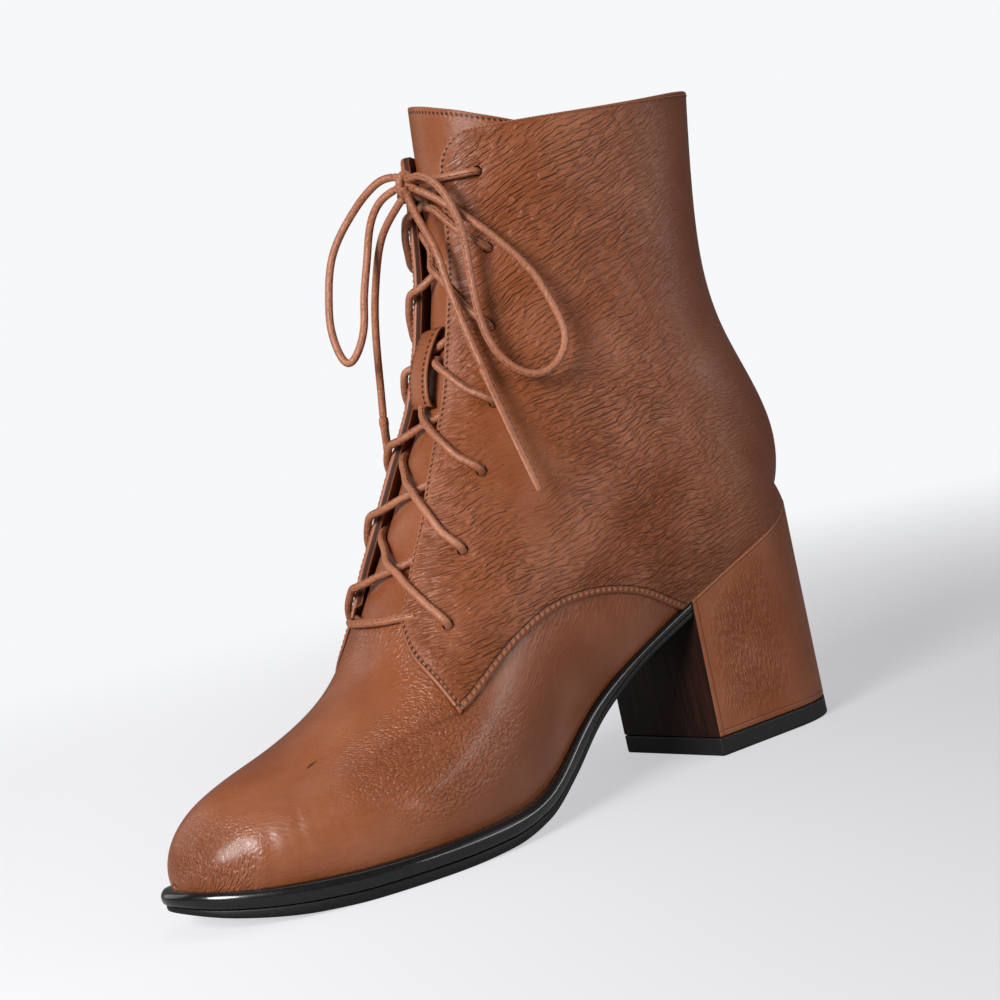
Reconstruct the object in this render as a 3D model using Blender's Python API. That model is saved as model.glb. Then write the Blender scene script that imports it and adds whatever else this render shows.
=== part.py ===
"""Lace-up ankle boot with a block heel, for the left foot, piece by piece as a maker builds it.

X runs across the foot (+X is its outer side), -Y points at the toe, +Z is up. Lengths are metres.
The boot stands level on Z = 0. Every curved piece is worked out from one form, the last:
a ring around the foot at each station, from the toe (0) to the collar (1) and a little past it.
"""

import math

import bmesh
import bpy
import numpy as np

for old in list(bpy.data.objects):
    bpy.data.objects.remove(old, do_unlink=True)

# Driving sizes of the whole boot
LENGTH = 0.2495
HEIGHT = 0.217
BALL_WIDTH = 0.078
ANKLE_WIDTH = 0.066
INSTEP_RISE = 0.0665
SEAT_HEIGHT = 0.077
TOE_SPRING = 0.0043
CLEARANCE = 0.0003

# Upper, tongue and insole
UPPER_WALL = 0.0016
QUARTER_STEP = 0.0012
FACING_LIFT = 0.0025
FACING_FADE = 0.028
COLLAR_CORNER = 0.012
COLLAR_DIP = 0.003
COLLAR_FRONT_DROP = 0.0045
THROAT_REACH = 0.115
THROAT_DEPTH = 0.030
VAMP_LAP = 0.006
FACING_LAP = 0.0105
TONGUE_WALL = 0.0016
INSOLE_THICKNESS = 0.0022
INSOLE_INSET = 0.0029

# Sole and heel
SOLE_THICKNESS = 0.0092
OUTSOLE_THICKNESS = 0.0034
SOLE_EDGE = 0.0036
BREAST_PLACE = 0.734
HEEL_EDGE = 0.0014
HEEL_FOOT_WIDTH = 0.051
HEEL_FOOT_LENGTH = 0.0595
HEEL_FOOT_BULGE = (0.72, 0.80)
LIFT_HEIGHT = 0.006
EDGE_ROUND = 0.0006

# Lace, holes and keeper
LACE_DIAMETER = 0.0025
LACE_SPARE = 0.0004
LACE_OVERHANG = 0.001
LACE_DROP = 0.0050
LACE_START = 0.001
LACE_STOP = 0.0012
LACE_CLIMB = 0.002
BAR_BOW = 0.0014
HOLE_DIAMETER = 0.0034
HOLE_INSET = 0.0105
KEEPER_WIDTH = 0.010
KEEPER_HEIGHT = 0.024
KEEPER_RAISE = 0.0032
KEEPER_WALL = 0.0014
TIP_LENGTH = 0.042
TIP_WIDTH = 0.0032

# Fineness of the faceted solids
RING_SIDES = 32
STRAND_SIDES = 6
FORM_STATIONS = (0.0, 0.015, 0.04, 0.08, 0.13, 0.18, 0.23, 0.28, 0.33, 0.38, 0.42, 0.46, 0.50, 0.545,
                 0.59, 0.63, 0.67, 0.705, 0.735, 0.765, 0.795, 0.835, 0.885, 0.94, 1.0, 1.03)
SOLE_STATIONS = (0.0, 0.015, 0.03, 0.05, 0.07, 0.10, 0.13, 0.17, 0.21, 0.255, 0.30, 0.34, 0.37,
                 0.395, 0.415, 0.435, 0.455, 0.475, 0.495, 0.515, 0.54, 0.57, 0.60)

# Foot sections, toe to throat. ridge_y and feather_y are shares of LENGTH from the toe, rise of
# INSTEP_RISE above the feather line, spring of TOE_SPRING, seat of the heel's lift, lateral,
# medial and centre of BALL_WIDTH, and feather is the flat underside's share of the width.
FOOT_SECTIONS = (
    # station ridge_y  rise   feather_y spring seat  lateral medial feather centre
    (0.000, 0.0100, 0.015, 0.0100, 1.00, 0.000, 0.013, 0.013, 0.90, -0.064),
    (0.030, 0.0180, 0.143, 0.0200, 0.88, 0.000, 0.154, 0.103, 0.95, -0.064),
    (0.070, 0.0421, 0.284, 0.0521, 0.56, 0.000, 0.276, 0.192, 0.96, -0.058),
    (0.130, 0.0922, 0.403, 0.1082, 0.23, 0.000, 0.385, 0.308, 0.955, -0.045),
    (0.210, 0.1643, 0.500, 0.1804, 0.02, 0.000, 0.468, 0.410, 0.95, -0.026),
    (0.300, 0.2385, 0.620, 0.2685, 0.00, 0.000, 0.506, 0.487, 0.94, 0.000),
    (0.390, 0.3006, 0.810, 0.3647, 0.00, 0.009, 0.506, 0.494, 0.905, 0.006),
)

# Shaft sections, throat to just past the collar. front and back are shares of the height from
# the throat, or the heel seat, to the collar, and lateral and medial are shares of ANKLE_WIDTH.
SHAFT_SECTIONS = (
    # station front_y front  back_y  seat   back  lateral medial feather centre
    (0.460, 0.3407, 0.000, 0.4529, 0.071, 0.000, 0.558, 0.528, 0.81, 0.000),
    (0.530, 0.3872, 0.132, 0.5571, 0.309, 0.000, 0.512, 0.482, 0.68, 0.000),
    (0.600, 0.4325, 0.273, 0.6774, 0.539, 0.000, 0.497, 0.467, 0.73, 0.000),
    (0.660, 0.4681, 0.382, 0.8056, 0.743, 0.000, 0.497, 0.474, 0.80, 0.000),
    (0.700, 0.4850, 0.456, 0.8938, 0.868, 0.000, 0.497, 0.474, 0.79, 0.000),
    (0.730, 0.4970, 0.508, 0.9435, 0.936, 0.000, 0.497, 0.474, 0.58, 0.000),
    (0.750, 0.5042, 0.544, 0.9679, 0.975, 0.000, 0.497, 0.474, 0.34, 0.000),
    (0.765, 0.5090, 0.573, 0.9780, 1.000, 0.000, 0.497, 0.474, 0.03, 0.000),
    (0.800, 0.5178, 0.626, 0.9960, 1.000, 0.112, 0.497, 0.474, 0.01, 0.000),
    (0.860, 0.5307, 0.724, 0.9491, 1.000, 0.386, 0.474, 0.467, 0.01, 0.000),
    (0.930, 0.5403, 0.848, 0.9371, 1.000, 0.693, 0.497, 0.489, 0.01, 0.000),
    (1.000, 0.5475, 0.970, 0.9651, 1.000, 1.000, 0.542, 0.527, 0.01, 0.000),
    (1.060, 0.5551, 1.079, 0.9752, 1.000, 1.107, 0.565, 0.550, 0.01, 0.000),
)

# How far the facings stand off the tongue, as shares of FACING_LIFT, by station
LIFT_ROWS = ((0.40, 0.0), (0.44, 0.0), (0.50, 0.75), (0.56, 1.0), (0.86, 1.0), (0.94, 0.75), (1.06, 0.5))

# Throat between the facings: height as a share from its end to the collar, half width as a
# share of ANKLE_WIDTH
THROAT_ROWS = ((-0.10, 0.340), (-0.06, 0.300), (-0.035, 0.262), (0.0, 0.234), (0.04, 0.236),
               (0.12, 0.230), (0.20, 0.221), (0.26, 0.203), (0.36, 0.179), (0.46, 0.159), (0.56, 0.146),
               (0.69, 0.146), (0.84, 0.147), (1.08, 0.149))

# Tongue: how far it wraps to each side, in radians around the last, by station
TONGUE_ROWS = ((0.415, 0.66), (0.50, 0.72), (0.62, 0.82), (0.98, 1.02), (1.01, 0.73), (1.04, 0.45))

# Lower edge of the quarters from the side, front edge first, then the curved seam to the sole:
# y as a share of LENGTH from the toe, height as a share of INSTEP_RISE above the floor
SEAM_ROWS = ((0.3117, 0.97), (0.3143, 0.90), (0.3175, 0.81), (0.3222, 0.725), (0.3274, 0.64),
             (0.3480, 0.675), (0.3700, 0.722), (0.4120, 0.815), (0.4570, 0.895), (0.5030, 0.947), (0.5430, 0.958),
             (0.5880, 0.942), (0.6220, 0.912), (0.6550, 0.865), (0.6880, 0.800), (0.7180, 0.745))

# Sole from the side: y as a share of LENGTH, tread height as a share of the seat height, and
# the outsole's share of its thickness
TREAD_ROWS = ((0.0, 0.056, 0.9), (0.04, 0.034, 0.95), (0.12, 0.009, 1.0), (0.18, 0.0, 1.0),
              (0.27, 0.0, 1.0), (0.357, 0.008, 0.95), (0.425, 0.043, 0.85), (0.493, 0.147, 0.72), (0.573, 0.338, 0.62),
              (0.653, 0.495, 0.58), (0.740, 0.618, 0.58))

# Width of the sole's edge beyond the upper, as shares of SOLE_EDGE, by station
EDGE_ROWS = ((0.0, 0.62), (0.13, 0.80), (0.30, 0.95), (0.39, 1.05), (0.46, 0.80), (0.53, 0.45), (0.70, 0.40))

# Heights of the lace holes, as shares from the throat's end to the collar, from the bottom up
HOLE_HEIGHTS = (-0.040, 0.103, 0.256, 0.395, 0.560, 0.731, 0.902)

# Routes of the lace's free stretches, from the knot outwards, chosen by hand
KNOT_PLACE = (0.0035, 0.0015, 0.2008)
KNOT_SIZE = (0.0042, 0.0034, 0.0046)
LOOP_LATERAL = (
    (0.0083, 0.0010, 0.2013), (0.0116, 0.0010, 0.2010), (0.0160, 0.0022, 0.1985), (0.0212, 0.0036, 0.1905),
    (0.0225, 0.0048, 0.1820), (0.0222, 0.0050, 0.1735), (0.0228, 0.0040, 0.1620), (0.0240, 0.0036, 0.1520),
    (0.0260, 0.0046, 0.1440), (0.0290, 0.0088, 0.1366), (0.0322, 0.0150, 0.1335), (0.0345, 0.0215, 0.1365),
    (0.0352, 0.0252, 0.1435), (0.0340, 0.0243, 0.1525), (0.0320, 0.0216, 0.1625), (0.0280, 0.0155, 0.1740),
    (0.0222, 0.0100, 0.1835), (0.0150, 0.0052, 0.1917), (0.0106, 0.0029, 0.1956), (0.0073, 0.0018, 0.1978))
LOOP_MEDIAL = (
    (0.0000, -0.0002, 0.2035), (-0.0032, -0.0020, 0.2037), (-0.0085, -0.0050, 0.2015),
    (-0.0165, -0.0095, 0.1948), (-0.0210, -0.0155, 0.1850), (-0.0230, -0.0198, 0.1700),
    (-0.0225, -0.0212, 0.1580), (-0.0198, -0.0194, 0.1502), (-0.0168, -0.0148, 0.1562),
    (-0.0150, -0.0118, 0.1680), (-0.0130, -0.0080, 0.1822), (-0.0098, -0.0058, 0.1922),
    (-0.0045, -0.0030, 0.1980), (-0.0005, -0.0005, 0.1996))
END_LATERAL = (
    (0.0048, 0.0000, 0.1962), (0.0090, -0.0006, 0.1880), (0.0142, -0.0006, 0.1780),
    (0.0166, -0.0008, 0.1680), (0.0190, -0.0008, 0.1582), (0.0218, -0.0003, 0.1473),
    (0.0240, 0.0004, 0.1385))
END_MEDIAL = (
    (0.0008, 0.0008, 0.1965), (-0.0042, -0.0006, 0.1930), (-0.0112, -0.0022, 0.1870),
    (-0.0176, -0.0033, 0.1765), (-0.0216, -0.0040, 0.1670), (-0.0250, -0.0050, 0.1525),
    (-0.0270, -0.0056, 0.1405), (-0.0285, -0.0062, 0.1310))
TIP_LATERAL_END = (0.0390, 0.0016, 0.0960)
TIP_MEDIAL_END = (-0.0325, -0.0080, 0.0900)
FREE_LACE = ("bow_", "lace_end_", "lace_tip_")


def metres_y(share):
    """Place along the boot for a share of LENGTH counted from the toe of the sole."""
    return (share - 0.5) * LENGTH


def smooth(knots, rows, at):
    """Natural cubic curve through the rows of a table."""
    knots = np.asarray(knots, float)
    rows = np.asarray(rows, float).reshape(len(knots), -1)
    count = len(knots)
    gap = np.diff(knots)
    system = np.eye(count)
    known = np.zeros(rows.shape)
    for i in range(1, count - 1):
        system[i, i - 1:i + 2] = gap[i - 1], 2 * (gap[i - 1] + gap[i]), gap[i]
        known[i] = 6 * ((rows[i + 1] - rows[i]) / gap[i] - (rows[i] - rows[i - 1]) / gap[i - 1])
    bend = np.linalg.solve(system, known)
    at = np.clip(np.asarray(at, float), knots[0], knots[-1])
    cell = np.clip(np.searchsorted(knots, at, side="right") - 1, 0, count - 2)
    after = (at - knots[cell])[..., None]
    before = (knots[cell + 1] - at)[..., None]
    wide = gap[cell][..., None]
    cubic = (bend[cell] * before ** 3 + bend[cell + 1] * after ** 3) / (6 * wide)
    low = (rows[cell] / wide - bend[cell] * wide / 6) * before
    high = (rows[cell + 1] / wide - bend[cell + 1] * wide / 6) * after
    return cubic + low + high


def steady(table, column, at):
    """Curve through a table that never swings past its rows, so level stretches stay level."""
    knots = np.array([row[0] for row in table])
    values = np.array([row[column] for row in table])
    gap = np.diff(knots)
    slope = np.diff(values) / gap
    lean = np.zeros(len(knots))
    for i in range(1, len(knots) - 1):
        if slope[i - 1] * slope[i] > 0:
            lean[i] = 2 * slope[i - 1] * slope[i] / (slope[i - 1] + slope[i])
    lean[0], lean[-1] = slope[0], slope[-1]
    at = np.clip(np.asarray(at, float), knots[0], knots[-1])
    cell = np.clip(np.searchsorted(knots, at, side="right") - 1, 0, len(gap) - 1)
    s = (at - knots[cell]) / gap[cell]
    start = values[cell] * (1 + 2 * s) * (1 - s) ** 2 + lean[cell] * gap[cell] * s * (1 - s) ** 2
    return start + values[cell + 1] * s ** 2 * (3 - 2 * s) - lean[cell + 1] * gap[cell] * s ** 2 * (1 - s)


# The last, as numbers
SEAT_RISE = SEAT_HEIGHT - SOLE_THICKNESS
THROAT_Z = SOLE_THICKNESS + SHAFT_SECTIONS[0][4] * SEAT_RISE + INSTEP_RISE
THROAT_END_Z = THROAT_Z - THROAT_REACH * INSTEP_RISE
COLLAR_FRONT_Z = HEIGHT - COLLAR_FRONT_DROP
STATION, FRONT_Y, FRONT_Z, BACK_Y, BACK_Z, LATERAL, MEDIAL, FEATHER, CENTRE = range(9)


def foot_row(row):
    """One foot section in metres, in the order of the names above."""
    station, ridge_y, rise, feather_y, spring, seat, lateral, medial, feather, centre = row
    back_z = SOLE_THICKNESS + spring * TOE_SPRING + seat * SEAT_RISE
    return (station, metres_y(ridge_y), back_z + rise * INSTEP_RISE, metres_y(feather_y), back_z,
            lateral * BALL_WIDTH, medial * BALL_WIDTH, feather, centre * BALL_WIDTH)


def shaft_row(row):
    """One shaft section in metres, in the same order."""
    station, front_y, front, back_y, seat, back, lateral, medial, feather, centre = row
    front_z = THROAT_Z + front * (HEIGHT - THROAT_Z)
    back_z = SOLE_THICKNESS + seat * SEAT_RISE + back * (HEIGHT - SEAT_HEIGHT)
    return (station, metres_y(front_y), front_z, metres_y(back_y), back_z,
            lateral * ANKLE_WIDTH, medial * ANKLE_WIDTH, feather, centre * ANKLE_WIDTH)


SECTIONS = np.array([foot_row(row) for row in FOOT_SECTIONS] + [shaft_row(row) for row in SHAFT_SECTIONS])


def bare_form(station, angle):
    """Point on the last: angle 0 on the ridge in front, a half turn at the sole or the back."""
    row = smooth(SECTIONS[:, 0], SECTIONS, station)
    reach = 1 + np.sqrt(1 - np.clip(row[..., FEATHER], 0, 0.99) ** 2)
    across = np.sin(angle)
    half = np.where(across > 0, row[..., LATERAL], row[..., MEDIAL])
    down = (1 - np.cos(angle)) / reach
    return np.stack([row[..., CENTRE] + half * across,
                     row[..., FRONT_Y] + (row[..., BACK_Y] - row[..., FRONT_Y]) * down,
                     row[..., FRONT_Z] + (row[..., BACK_Z] - row[..., FRONT_Z]) * down], -1)


def outward(station, angle):
    """Direction that points straight out of the last's surface."""
    step_s, step_a = 0.003, 0.03
    low = np.clip(station - step_s, 0, None)
    along = bare_form(station + step_s, angle) - bare_form(low, angle)
    around = bare_form(station, angle + step_a) - bare_form(station, angle - step_a)
    normal = np.cross(around, along)
    normal /= np.linalg.norm(normal, axis=-1, keepdims=True)
    return normal


def flare(station, across):
    """Share of FACING_LIFT that a point has, by its station and its distance from the ridge."""
    inner = THROAT_ROWS[-1][1] * ANKLE_WIDTH
    away = np.clip((np.abs(across) - inner) / FACING_FADE, 0, 1)
    return steady(LIFT_ROWS, 1, station) * 0.5 * (1 + np.cos(np.pi * away))


def form(station, angle, offset=0.0, lifted=True):
    """Point at a distance from the last's surface, on the facings' own lift when lifted."""
    station, angle = np.broadcast_arrays(np.asarray(station, float), np.asarray(angle, float))
    point = bare_form(station, angle)
    total = np.full(station.shape, float(offset))
    if lifted:
        front = np.cos(angle) > 0
        total = total + np.where(front, flare(station, point[..., 0]) * FACING_LIFT, 0.0)
    return point + outward(station, angle) * total[..., None]


def feather_z(y):
    """Height of the feather line, where the upper meets the sole, at a place along the boot."""
    station = np.linspace(0, 0.765, 300)
    row = smooth(SECTIONS[:, 0], SECTIONS, station)
    end_slope = (row[-1, BACK_Z] - row[-20, BACK_Z]) / (row[-1, BACK_Y] - row[-20, BACK_Y])
    beyond = np.clip(np.asarray(y, float) - row[-1, BACK_Y], 0, None) * end_slope
    return np.interp(y, row[:, BACK_Y], row[:, BACK_Z]) + beyond


def tread_z(y):
    """Height of the tread under the sole."""
    return steady(TREAD_ROWS, 1, y / LENGTH + 0.5) * SEAT_HEIGHT


def split_z(y):
    """Height of the join between outsole and midsole."""
    return tread_z(y) + steady(TREAD_ROWS, 2, y / LENGTH + 0.5) * OUTSOLE_THICKNESS


def outline(station, margin, side):
    """Point of the feather outline from above, moved outwards by a margin."""
    step = 0.004
    at = np.array([max(station - step, 0), station, min(station + step, 0.765)])
    row = smooth(SECTIONS[:, 0], SECTIONS, at)
    half = row[:, FEATHER] * row[:, LATERAL if side > 0 else MEDIAL]
    x, y = row[:, CENTRE] + side * half, row[:, BACK_Y]
    along = np.array([x[2] - x[0], y[2] - y[0]])
    along /= np.hypot(*along)
    return x[1] + side * along[1] * margin, y[1] - side * along[0] * margin


def station_at(column, value, low=0.0, high=0.765):
    """Station at which a column of the sections reaches a value."""
    for _ in range(50):
        middle = 0.5 * (low + high)
        if smooth(SECTIONS[:, 0], SECTIONS, middle)[column] < value:
            low = middle
        else:
            high = middle
    return 0.5 * (low + high)


# Materials and shared mesh tools
def material(name, colour, roughness, metallic=0.0):
    """Plain finish of one piece."""
    finish = bpy.data.materials.new(name)
    finish.use_nodes = True
    shader = finish.node_tree.nodes["Principled BSDF"]
    shader.inputs["Base Color"].default_value = (*colour, 1.0)
    shader.inputs["Roughness"].default_value = roughness
    shader.inputs["Metallic"].default_value = metallic
    return finish


LEATHER = (0.27, 0.088, 0.036)
PALE_LEATHER = (0.30, 0.105, 0.045)
BLACK = (0.012, 0.011, 0.011)


def place(name, rings, finish, closed=True, cap_strip=False, cutter=False):
    """Object lofted through rings of points, in triangles, with both ends closed."""
    mesh = bmesh.new()
    loops = [[mesh.verts.new(point) for point in ring] for ring in rings]
    size = len(loops[0])
    for one, two in zip(loops, loops[1:]):
        for i in range(size if closed else size - 1):
            j = (i + 1) % size
            mesh.faces.new((one[i], one[j], two[j], two[i]))
    for loop in (loops[0], loops[-1]):
        if cap_strip:
            for i in range(size // 2 - 1):
                mesh.faces.new((loop[i], loop[i + 1], loop[size - 2 - i], loop[size - 1 - i]))
        else:
            mesh.faces.new(loop)
    bmesh.ops.triangulate(mesh, faces=mesh.faces[:])
    bmesh.ops.recalc_face_normals(mesh, faces=mesh.faces[:])
    return wrap(name, mesh, finish, cutter)


def wrap(name, mesh, finish, cutter=False):
    """Object from a bmesh. A cutter stays out of the model."""
    data = bpy.data.meshes.new(name)
    mesh.to_mesh(data)
    mesh.free()
    data.shade_smooth()
    data.set_sharp_from_angle(angle=math.radians(40))
    thing = bpy.data.objects.new(name, data)
    bpy.context.collection.objects.link(thing)
    if finish:
        data.materials.append(finish)
    if cutter:
        thing.hide_render = True
        thing.display_type = "WIRE"
    return thing


def combine(thing, other, operation):
    """Exact Boolean with another object."""
    step = thing.modifiers.new(other.name, "BOOLEAN")
    step.operation = operation
    step.object = other
    step.solver = "EXACT"
    return thing


def extrude_x(name, points, half, finish=None):
    """Cutter with a side-view outline, across the whole boot."""
    rings = [[(x, y, z) for y, z in points] for x in (-half, half)]
    return place(name, rings, finish, cutter=True)


def tube_mesh(mesh, points, radius, sides=8):
    """Closed tube along a few points, added to a mesh."""
    points = np.asarray(points, float)
    tangent = np.gradient(points, axis=0)
    tangent /= np.linalg.norm(tangent, axis=1, keepdims=True)
    side = np.cross(tangent, (0.0, 1.0, 0.0))
    side /= np.linalg.norm(side, axis=1, keepdims=True)
    over = np.cross(side, tangent)
    loops = []
    for point, across, up in zip(points, side, over):
        turn = [2 * math.pi * k / sides for k in range(sides)]
        ring = [point + radius * (math.cos(a) * across + math.sin(a) * up) for a in turn]
        loops.append([mesh.verts.new(p) for p in ring])
    for one, two in zip(loops, loops[1:]):
        for i in range(sides):
            j = (i + 1) % sides
            mesh.faces.new((one[i], one[j], two[j], two[i]))
    mesh.faces.new(loops[0])
    mesh.faces.new(loops[-1])


# Upper: one hollow piece of vamp and quarters
def form_solid(name, offset, top, finish=None, cutter=True):
    """Closed solid of the last at an offset, up to a station."""
    turns = np.arange(RING_SIDES) * 2 * math.pi / RING_SIDES
    stations = [s for s in FORM_STATIONS if s < top] + [top]
    rings = [form(s, turns, offset) for s in stations]
    return place(name, rings, finish, cutter=cutter)


def throat_half(z):
    """Half width of the throat at a height, with the rounded corners below the collar."""
    share = (z - THROAT_END_Z) / (COLLAR_FRONT_Z - THROAT_END_Z)
    half = float(steady(THROAT_ROWS, 1, share)) * ANKLE_WIDTH
    into = z - (COLLAR_FRONT_Z - COLLAR_CORNER)
    if into > 0:
        into = min(into, COLLAR_CORNER)
        half += COLLAR_CORNER - math.sqrt(COLLAR_CORNER ** 2 - into ** 2)
    return half


def ridge_y(z):
    """Place of the last's front ridge at a height."""
    station = np.linspace(0.2, 1.06, 300)
    row = smooth(SECTIONS[:, 0], SECTIONS, station)
    return float(np.interp(z, row[:, FRONT_Z], row[:, FRONT_Y]))


def throat_cutter(name, start):
    """Front-view cutter for the gap between the facings, from a height up."""
    corner = COLLAR_FRONT_Z - COLLAR_CORNER
    heights = list(np.linspace(start, corner, 14))
    heights += [corner + COLLAR_CORNER * math.sin(a) for a in np.linspace(0.25, 1.5, 6)]
    heights += [HEIGHT + 0.02]
    rings = []
    for z in heights:
        half, back = throat_half(z), ridge_y(z) + THROAT_DEPTH
        rings.append([(-half, -LENGTH, z), (half, -LENGTH, z), (half, back, z), (-half, back, z)])
    return place(name, rings, None, cutter=True)


def quarter_blank():
    """Quarters: the larger form, cut along the seam and in front of the facings."""
    blank = form_solid("quarter_blank", QUARTER_STEP, 1.03)
    seam = [(metres_y(y), h * INSTEP_RISE) for y, h in SEAM_ROWS]
    low, far, front_top = -0.02, -LENGTH, THROAT_END_Z - VAMP_LAP
    below = [(far, low), (far, front_top), (seam[0][0] - 0.001, front_top)]
    below += seam + [(seam[-1][0] + 0.012, low)]
    combine(blank, extrude_x("seam_cutter", below, BALL_WIDTH), "DIFFERENCE")
    combine(blank, throat_cutter("facing_cutter", THROAT_END_Z - FACING_LAP), "DIFFERENCE")
    return blank


def sole_cutter():
    """Cutter below the feather line, where the sole closes the upper."""
    ys = np.linspace(-0.56, 0.54, 60) * LENGTH
    top = [(y, float(feather_z(y))) for y in ys]
    return extrude_x("feather_cutter", [(ys[0], -0.05)] + top + [(ys[-1], -0.05)], BALL_WIDTH)


def collar_cutter():
    """Cutter above the collar line, which dips a little at the sides."""
    front, back = SECTIONS[-2, FRONT_Y], SECTIONS[-2, BACK_Y]
    line = []
    for share in np.linspace(-0.4, 1.15, 14):
        inside = min(max(share, 0.0), 1.0)
        dip = COLLAR_DIP * math.sin(math.pi * inside)
        level = COLLAR_FRONT_Z + (HEIGHT - COLLAR_FRONT_Z) * inside - dip
        line.append((front + (back - front) * share, level))
    top = HEIGHT + 0.06
    return extrude_x("collar_cutter", [(line[0][0], top)] + line + [(line[-1][0], top)], BALL_WIDTH)


def hole_site(index, side):
    """Place and outward direction of one lace hole on the facing's outer surface."""
    z = THROAT_END_Z + HOLE_HEIGHTS[index] * (COLLAR_FRONT_Z - THROAT_END_Z)
    return surface_point(side * (throat_half(z) + HOLE_INSET), z, QUARTER_STEP)


def ridge_angle(row, x):
    """Turn from the front ridge at which a section lies at a place across."""
    half = row[LATERAL] if x > row[CENTRE] else row[MEDIAL]
    return math.asin(max(-0.98, min(0.98, (x - row[CENTRE]) / half)))


def surface_point(x, z, offset, lifted=True):
    """Point in front at a distance from the last, found by its place across and its height."""
    across, height = x, z
    for _ in range(6):
        low, high = 0.30, 1.06
        for _ in range(30):
            station = 0.5 * (low + high)
            angle = ridge_angle(smooth(SECTIONS[:, 0], SECTIONS, station), across)
            if bare_form(np.array(station), np.array(angle))[2] < height:
                low = station
            else:
                high = station
        point = form(station, angle, offset, lifted)
        across += x - point[0]
        height += z - point[2]
    return point, outward(np.array(station), np.array(angle))


def hole_cutter():
    """Punches for all the lace holes."""
    punches = bmesh.new()
    for side in (1, -1):
        for index in range(len(HOLE_HEIGHTS)):
            point, normal = hole_site(index, side)
            axis = [point - normal * 0.006, point, point + normal * 0.004]
            tube_mesh(punches, axis, HOLE_DIAMETER / 2, 8)
    bmesh.ops.recalc_face_normals(punches, faces=punches.faces[:])
    bmesh.ops.triangulate(punches, faces=punches.faces[:])
    return wrap("hole_punches", punches, None, cutter=True)


def upper():
    """Vamp and quarters in one wall, open at collar, throat, holes and underneath."""
    leather = material("upper_leather", LEATHER, 0.45)
    body = form_solid("upper", 0.0, 1.03, leather, cutter=False)
    combine(body, quarter_blank(), "UNION")
    combine(body, form_solid("upper_cavity", -UPPER_WALL, 1.045), "DIFFERENCE")
    combine(body, hole_cutter(), "DIFFERENCE")
    combine(body, throat_cutter("throat_cutter", THROAT_END_Z), "DIFFERENCE")
    combine(body, collar_cutter(), "DIFFERENCE")
    combine(body, sole_cutter(), "DIFFERENCE")
    return body


def tongue():
    """Wide tongue behind the lacing, from under the vamp to above the collar."""
    leather = material("tongue_leather", LEATHER, 0.5)
    stations = np.append(np.linspace(TONGUE_ROWS[0][0], 0.98, 14), (1.01, TONGUE_ROWS[-1][0]))
    outer = -(UPPER_WALL + CLEARANCE)
    reach = np.interp(stations, *np.transpose(TONGUE_ROWS))
    rings = []
    for station, half_turn in zip(stations, reach):
        turns = np.linspace(-half_turn, half_turn, 11)
        front = form(station, turns, outer, lifted=False)
        back = form(station, turns[::-1], outer - TONGUE_WALL, lifted=False)
        rings.append(np.vstack([front, back]))
    return place("tongue", rings, leather, cap_strip=True)


def slab(name, stations, profile, top, bottom, finish, edge=None, ends=()):
    """Layer under the foot: its outline at each station, its side's profile, two surfaces."""
    rings = []
    for station in list(stations) + list(ends):
        reach = steady(EDGE_ROWS, 1, station) * SOLE_EDGE if edge is None else edge
        ring = []
        for side, rows in ((1, profile), (-1, profile[::-1])):
            for share, drop in rows:
                x, y = outline(station, reach * share, side)
                if station in ends:
                    y = float(smooth(SECTIONS[:, 0], SECTIONS, station)[BACK_Y])
                ring.append((x, y, float(top(y) * (1 - drop) + bottom(y) * drop)))
        rings.append(ring)
    return place(name, rings, finish, cap_strip=True)


BREAST_Y = metres_y(BREAST_PLACE)
BREAST_STATION = station_at(BACK_Y, BREAST_Y - CLEARANCE)


def midsole():
    """Rounded, polished band between upper and outsole."""
    profile = ((0.35, 0.0), (0.80, 0.10), (1.0, 0.42), (0.95, 0.75), (0.72, 1.0))
    return slab("midsole", SOLE_STATIONS, profile, lambda y: feather_z(y) - CLEARANCE,
                lambda y: split_z(y) + CLEARANCE / 2, material("midsole_black", BLACK, 0.18),
                ends=(BREAST_STATION,))


def outsole():
    """Thin outsole with a rounded lower edge."""
    profile = ((0.62, 0.0), (0.72, 0.15), (0.72, 0.70), (0.45, 1.0))
    return slab("outsole", SOLE_STATIONS, profile, lambda y: split_z(y) - CLEARANCE / 2,
                tread_z, material("outsole_black", BLACK, 0.5), ends=(BREAST_STATION,))


def insole():
    """Thin sheet inside, on the sole and the heel seat, clear of the upper's wall."""
    stations = SOLE_STATIONS[1:] + (0.63, 0.66, 0.69, 0.71, 0.73, 0.745, 0.757)
    profile = ((1.0, 0.0), (1.0, 1.0))
    return slab("insole", stations, profile, lambda y: feather_z(y) + INSOLE_THICKNESS,
                lambda y: feather_z(y) + CLEARANCE * 0.2, material("insole_leather", PALE_LEATHER, 0.7),
                edge=-INSOLE_INSET)


def heel_foot_ring(z, inset=0.0):
    """D-shaped outline of the heel near the floor, from breast to back and round again."""
    half = HEEL_FOOT_WIDTH / 2 - inset
    start, length = BREAST_Y + inset, HEEL_FOOT_LENGTH - 2 * inset
    side = [(half, start + share * length) for share in (0.0, 0.3, 0.55)]
    round_start = side[-1][1]
    depth = start + length - round_start
    for turn in np.linspace(0, math.pi / 2, 8)[1:]:
        side.append((max(half * abs(math.cos(turn)) ** HEEL_FOOT_BULGE[0], 0.0006),
                     round_start + depth * math.sin(turn) ** HEEL_FOOT_BULGE[1]))
    return [(x, y, z) for x, y in side] + [(-x, y, z) for x, y in side[::-1]]


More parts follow.
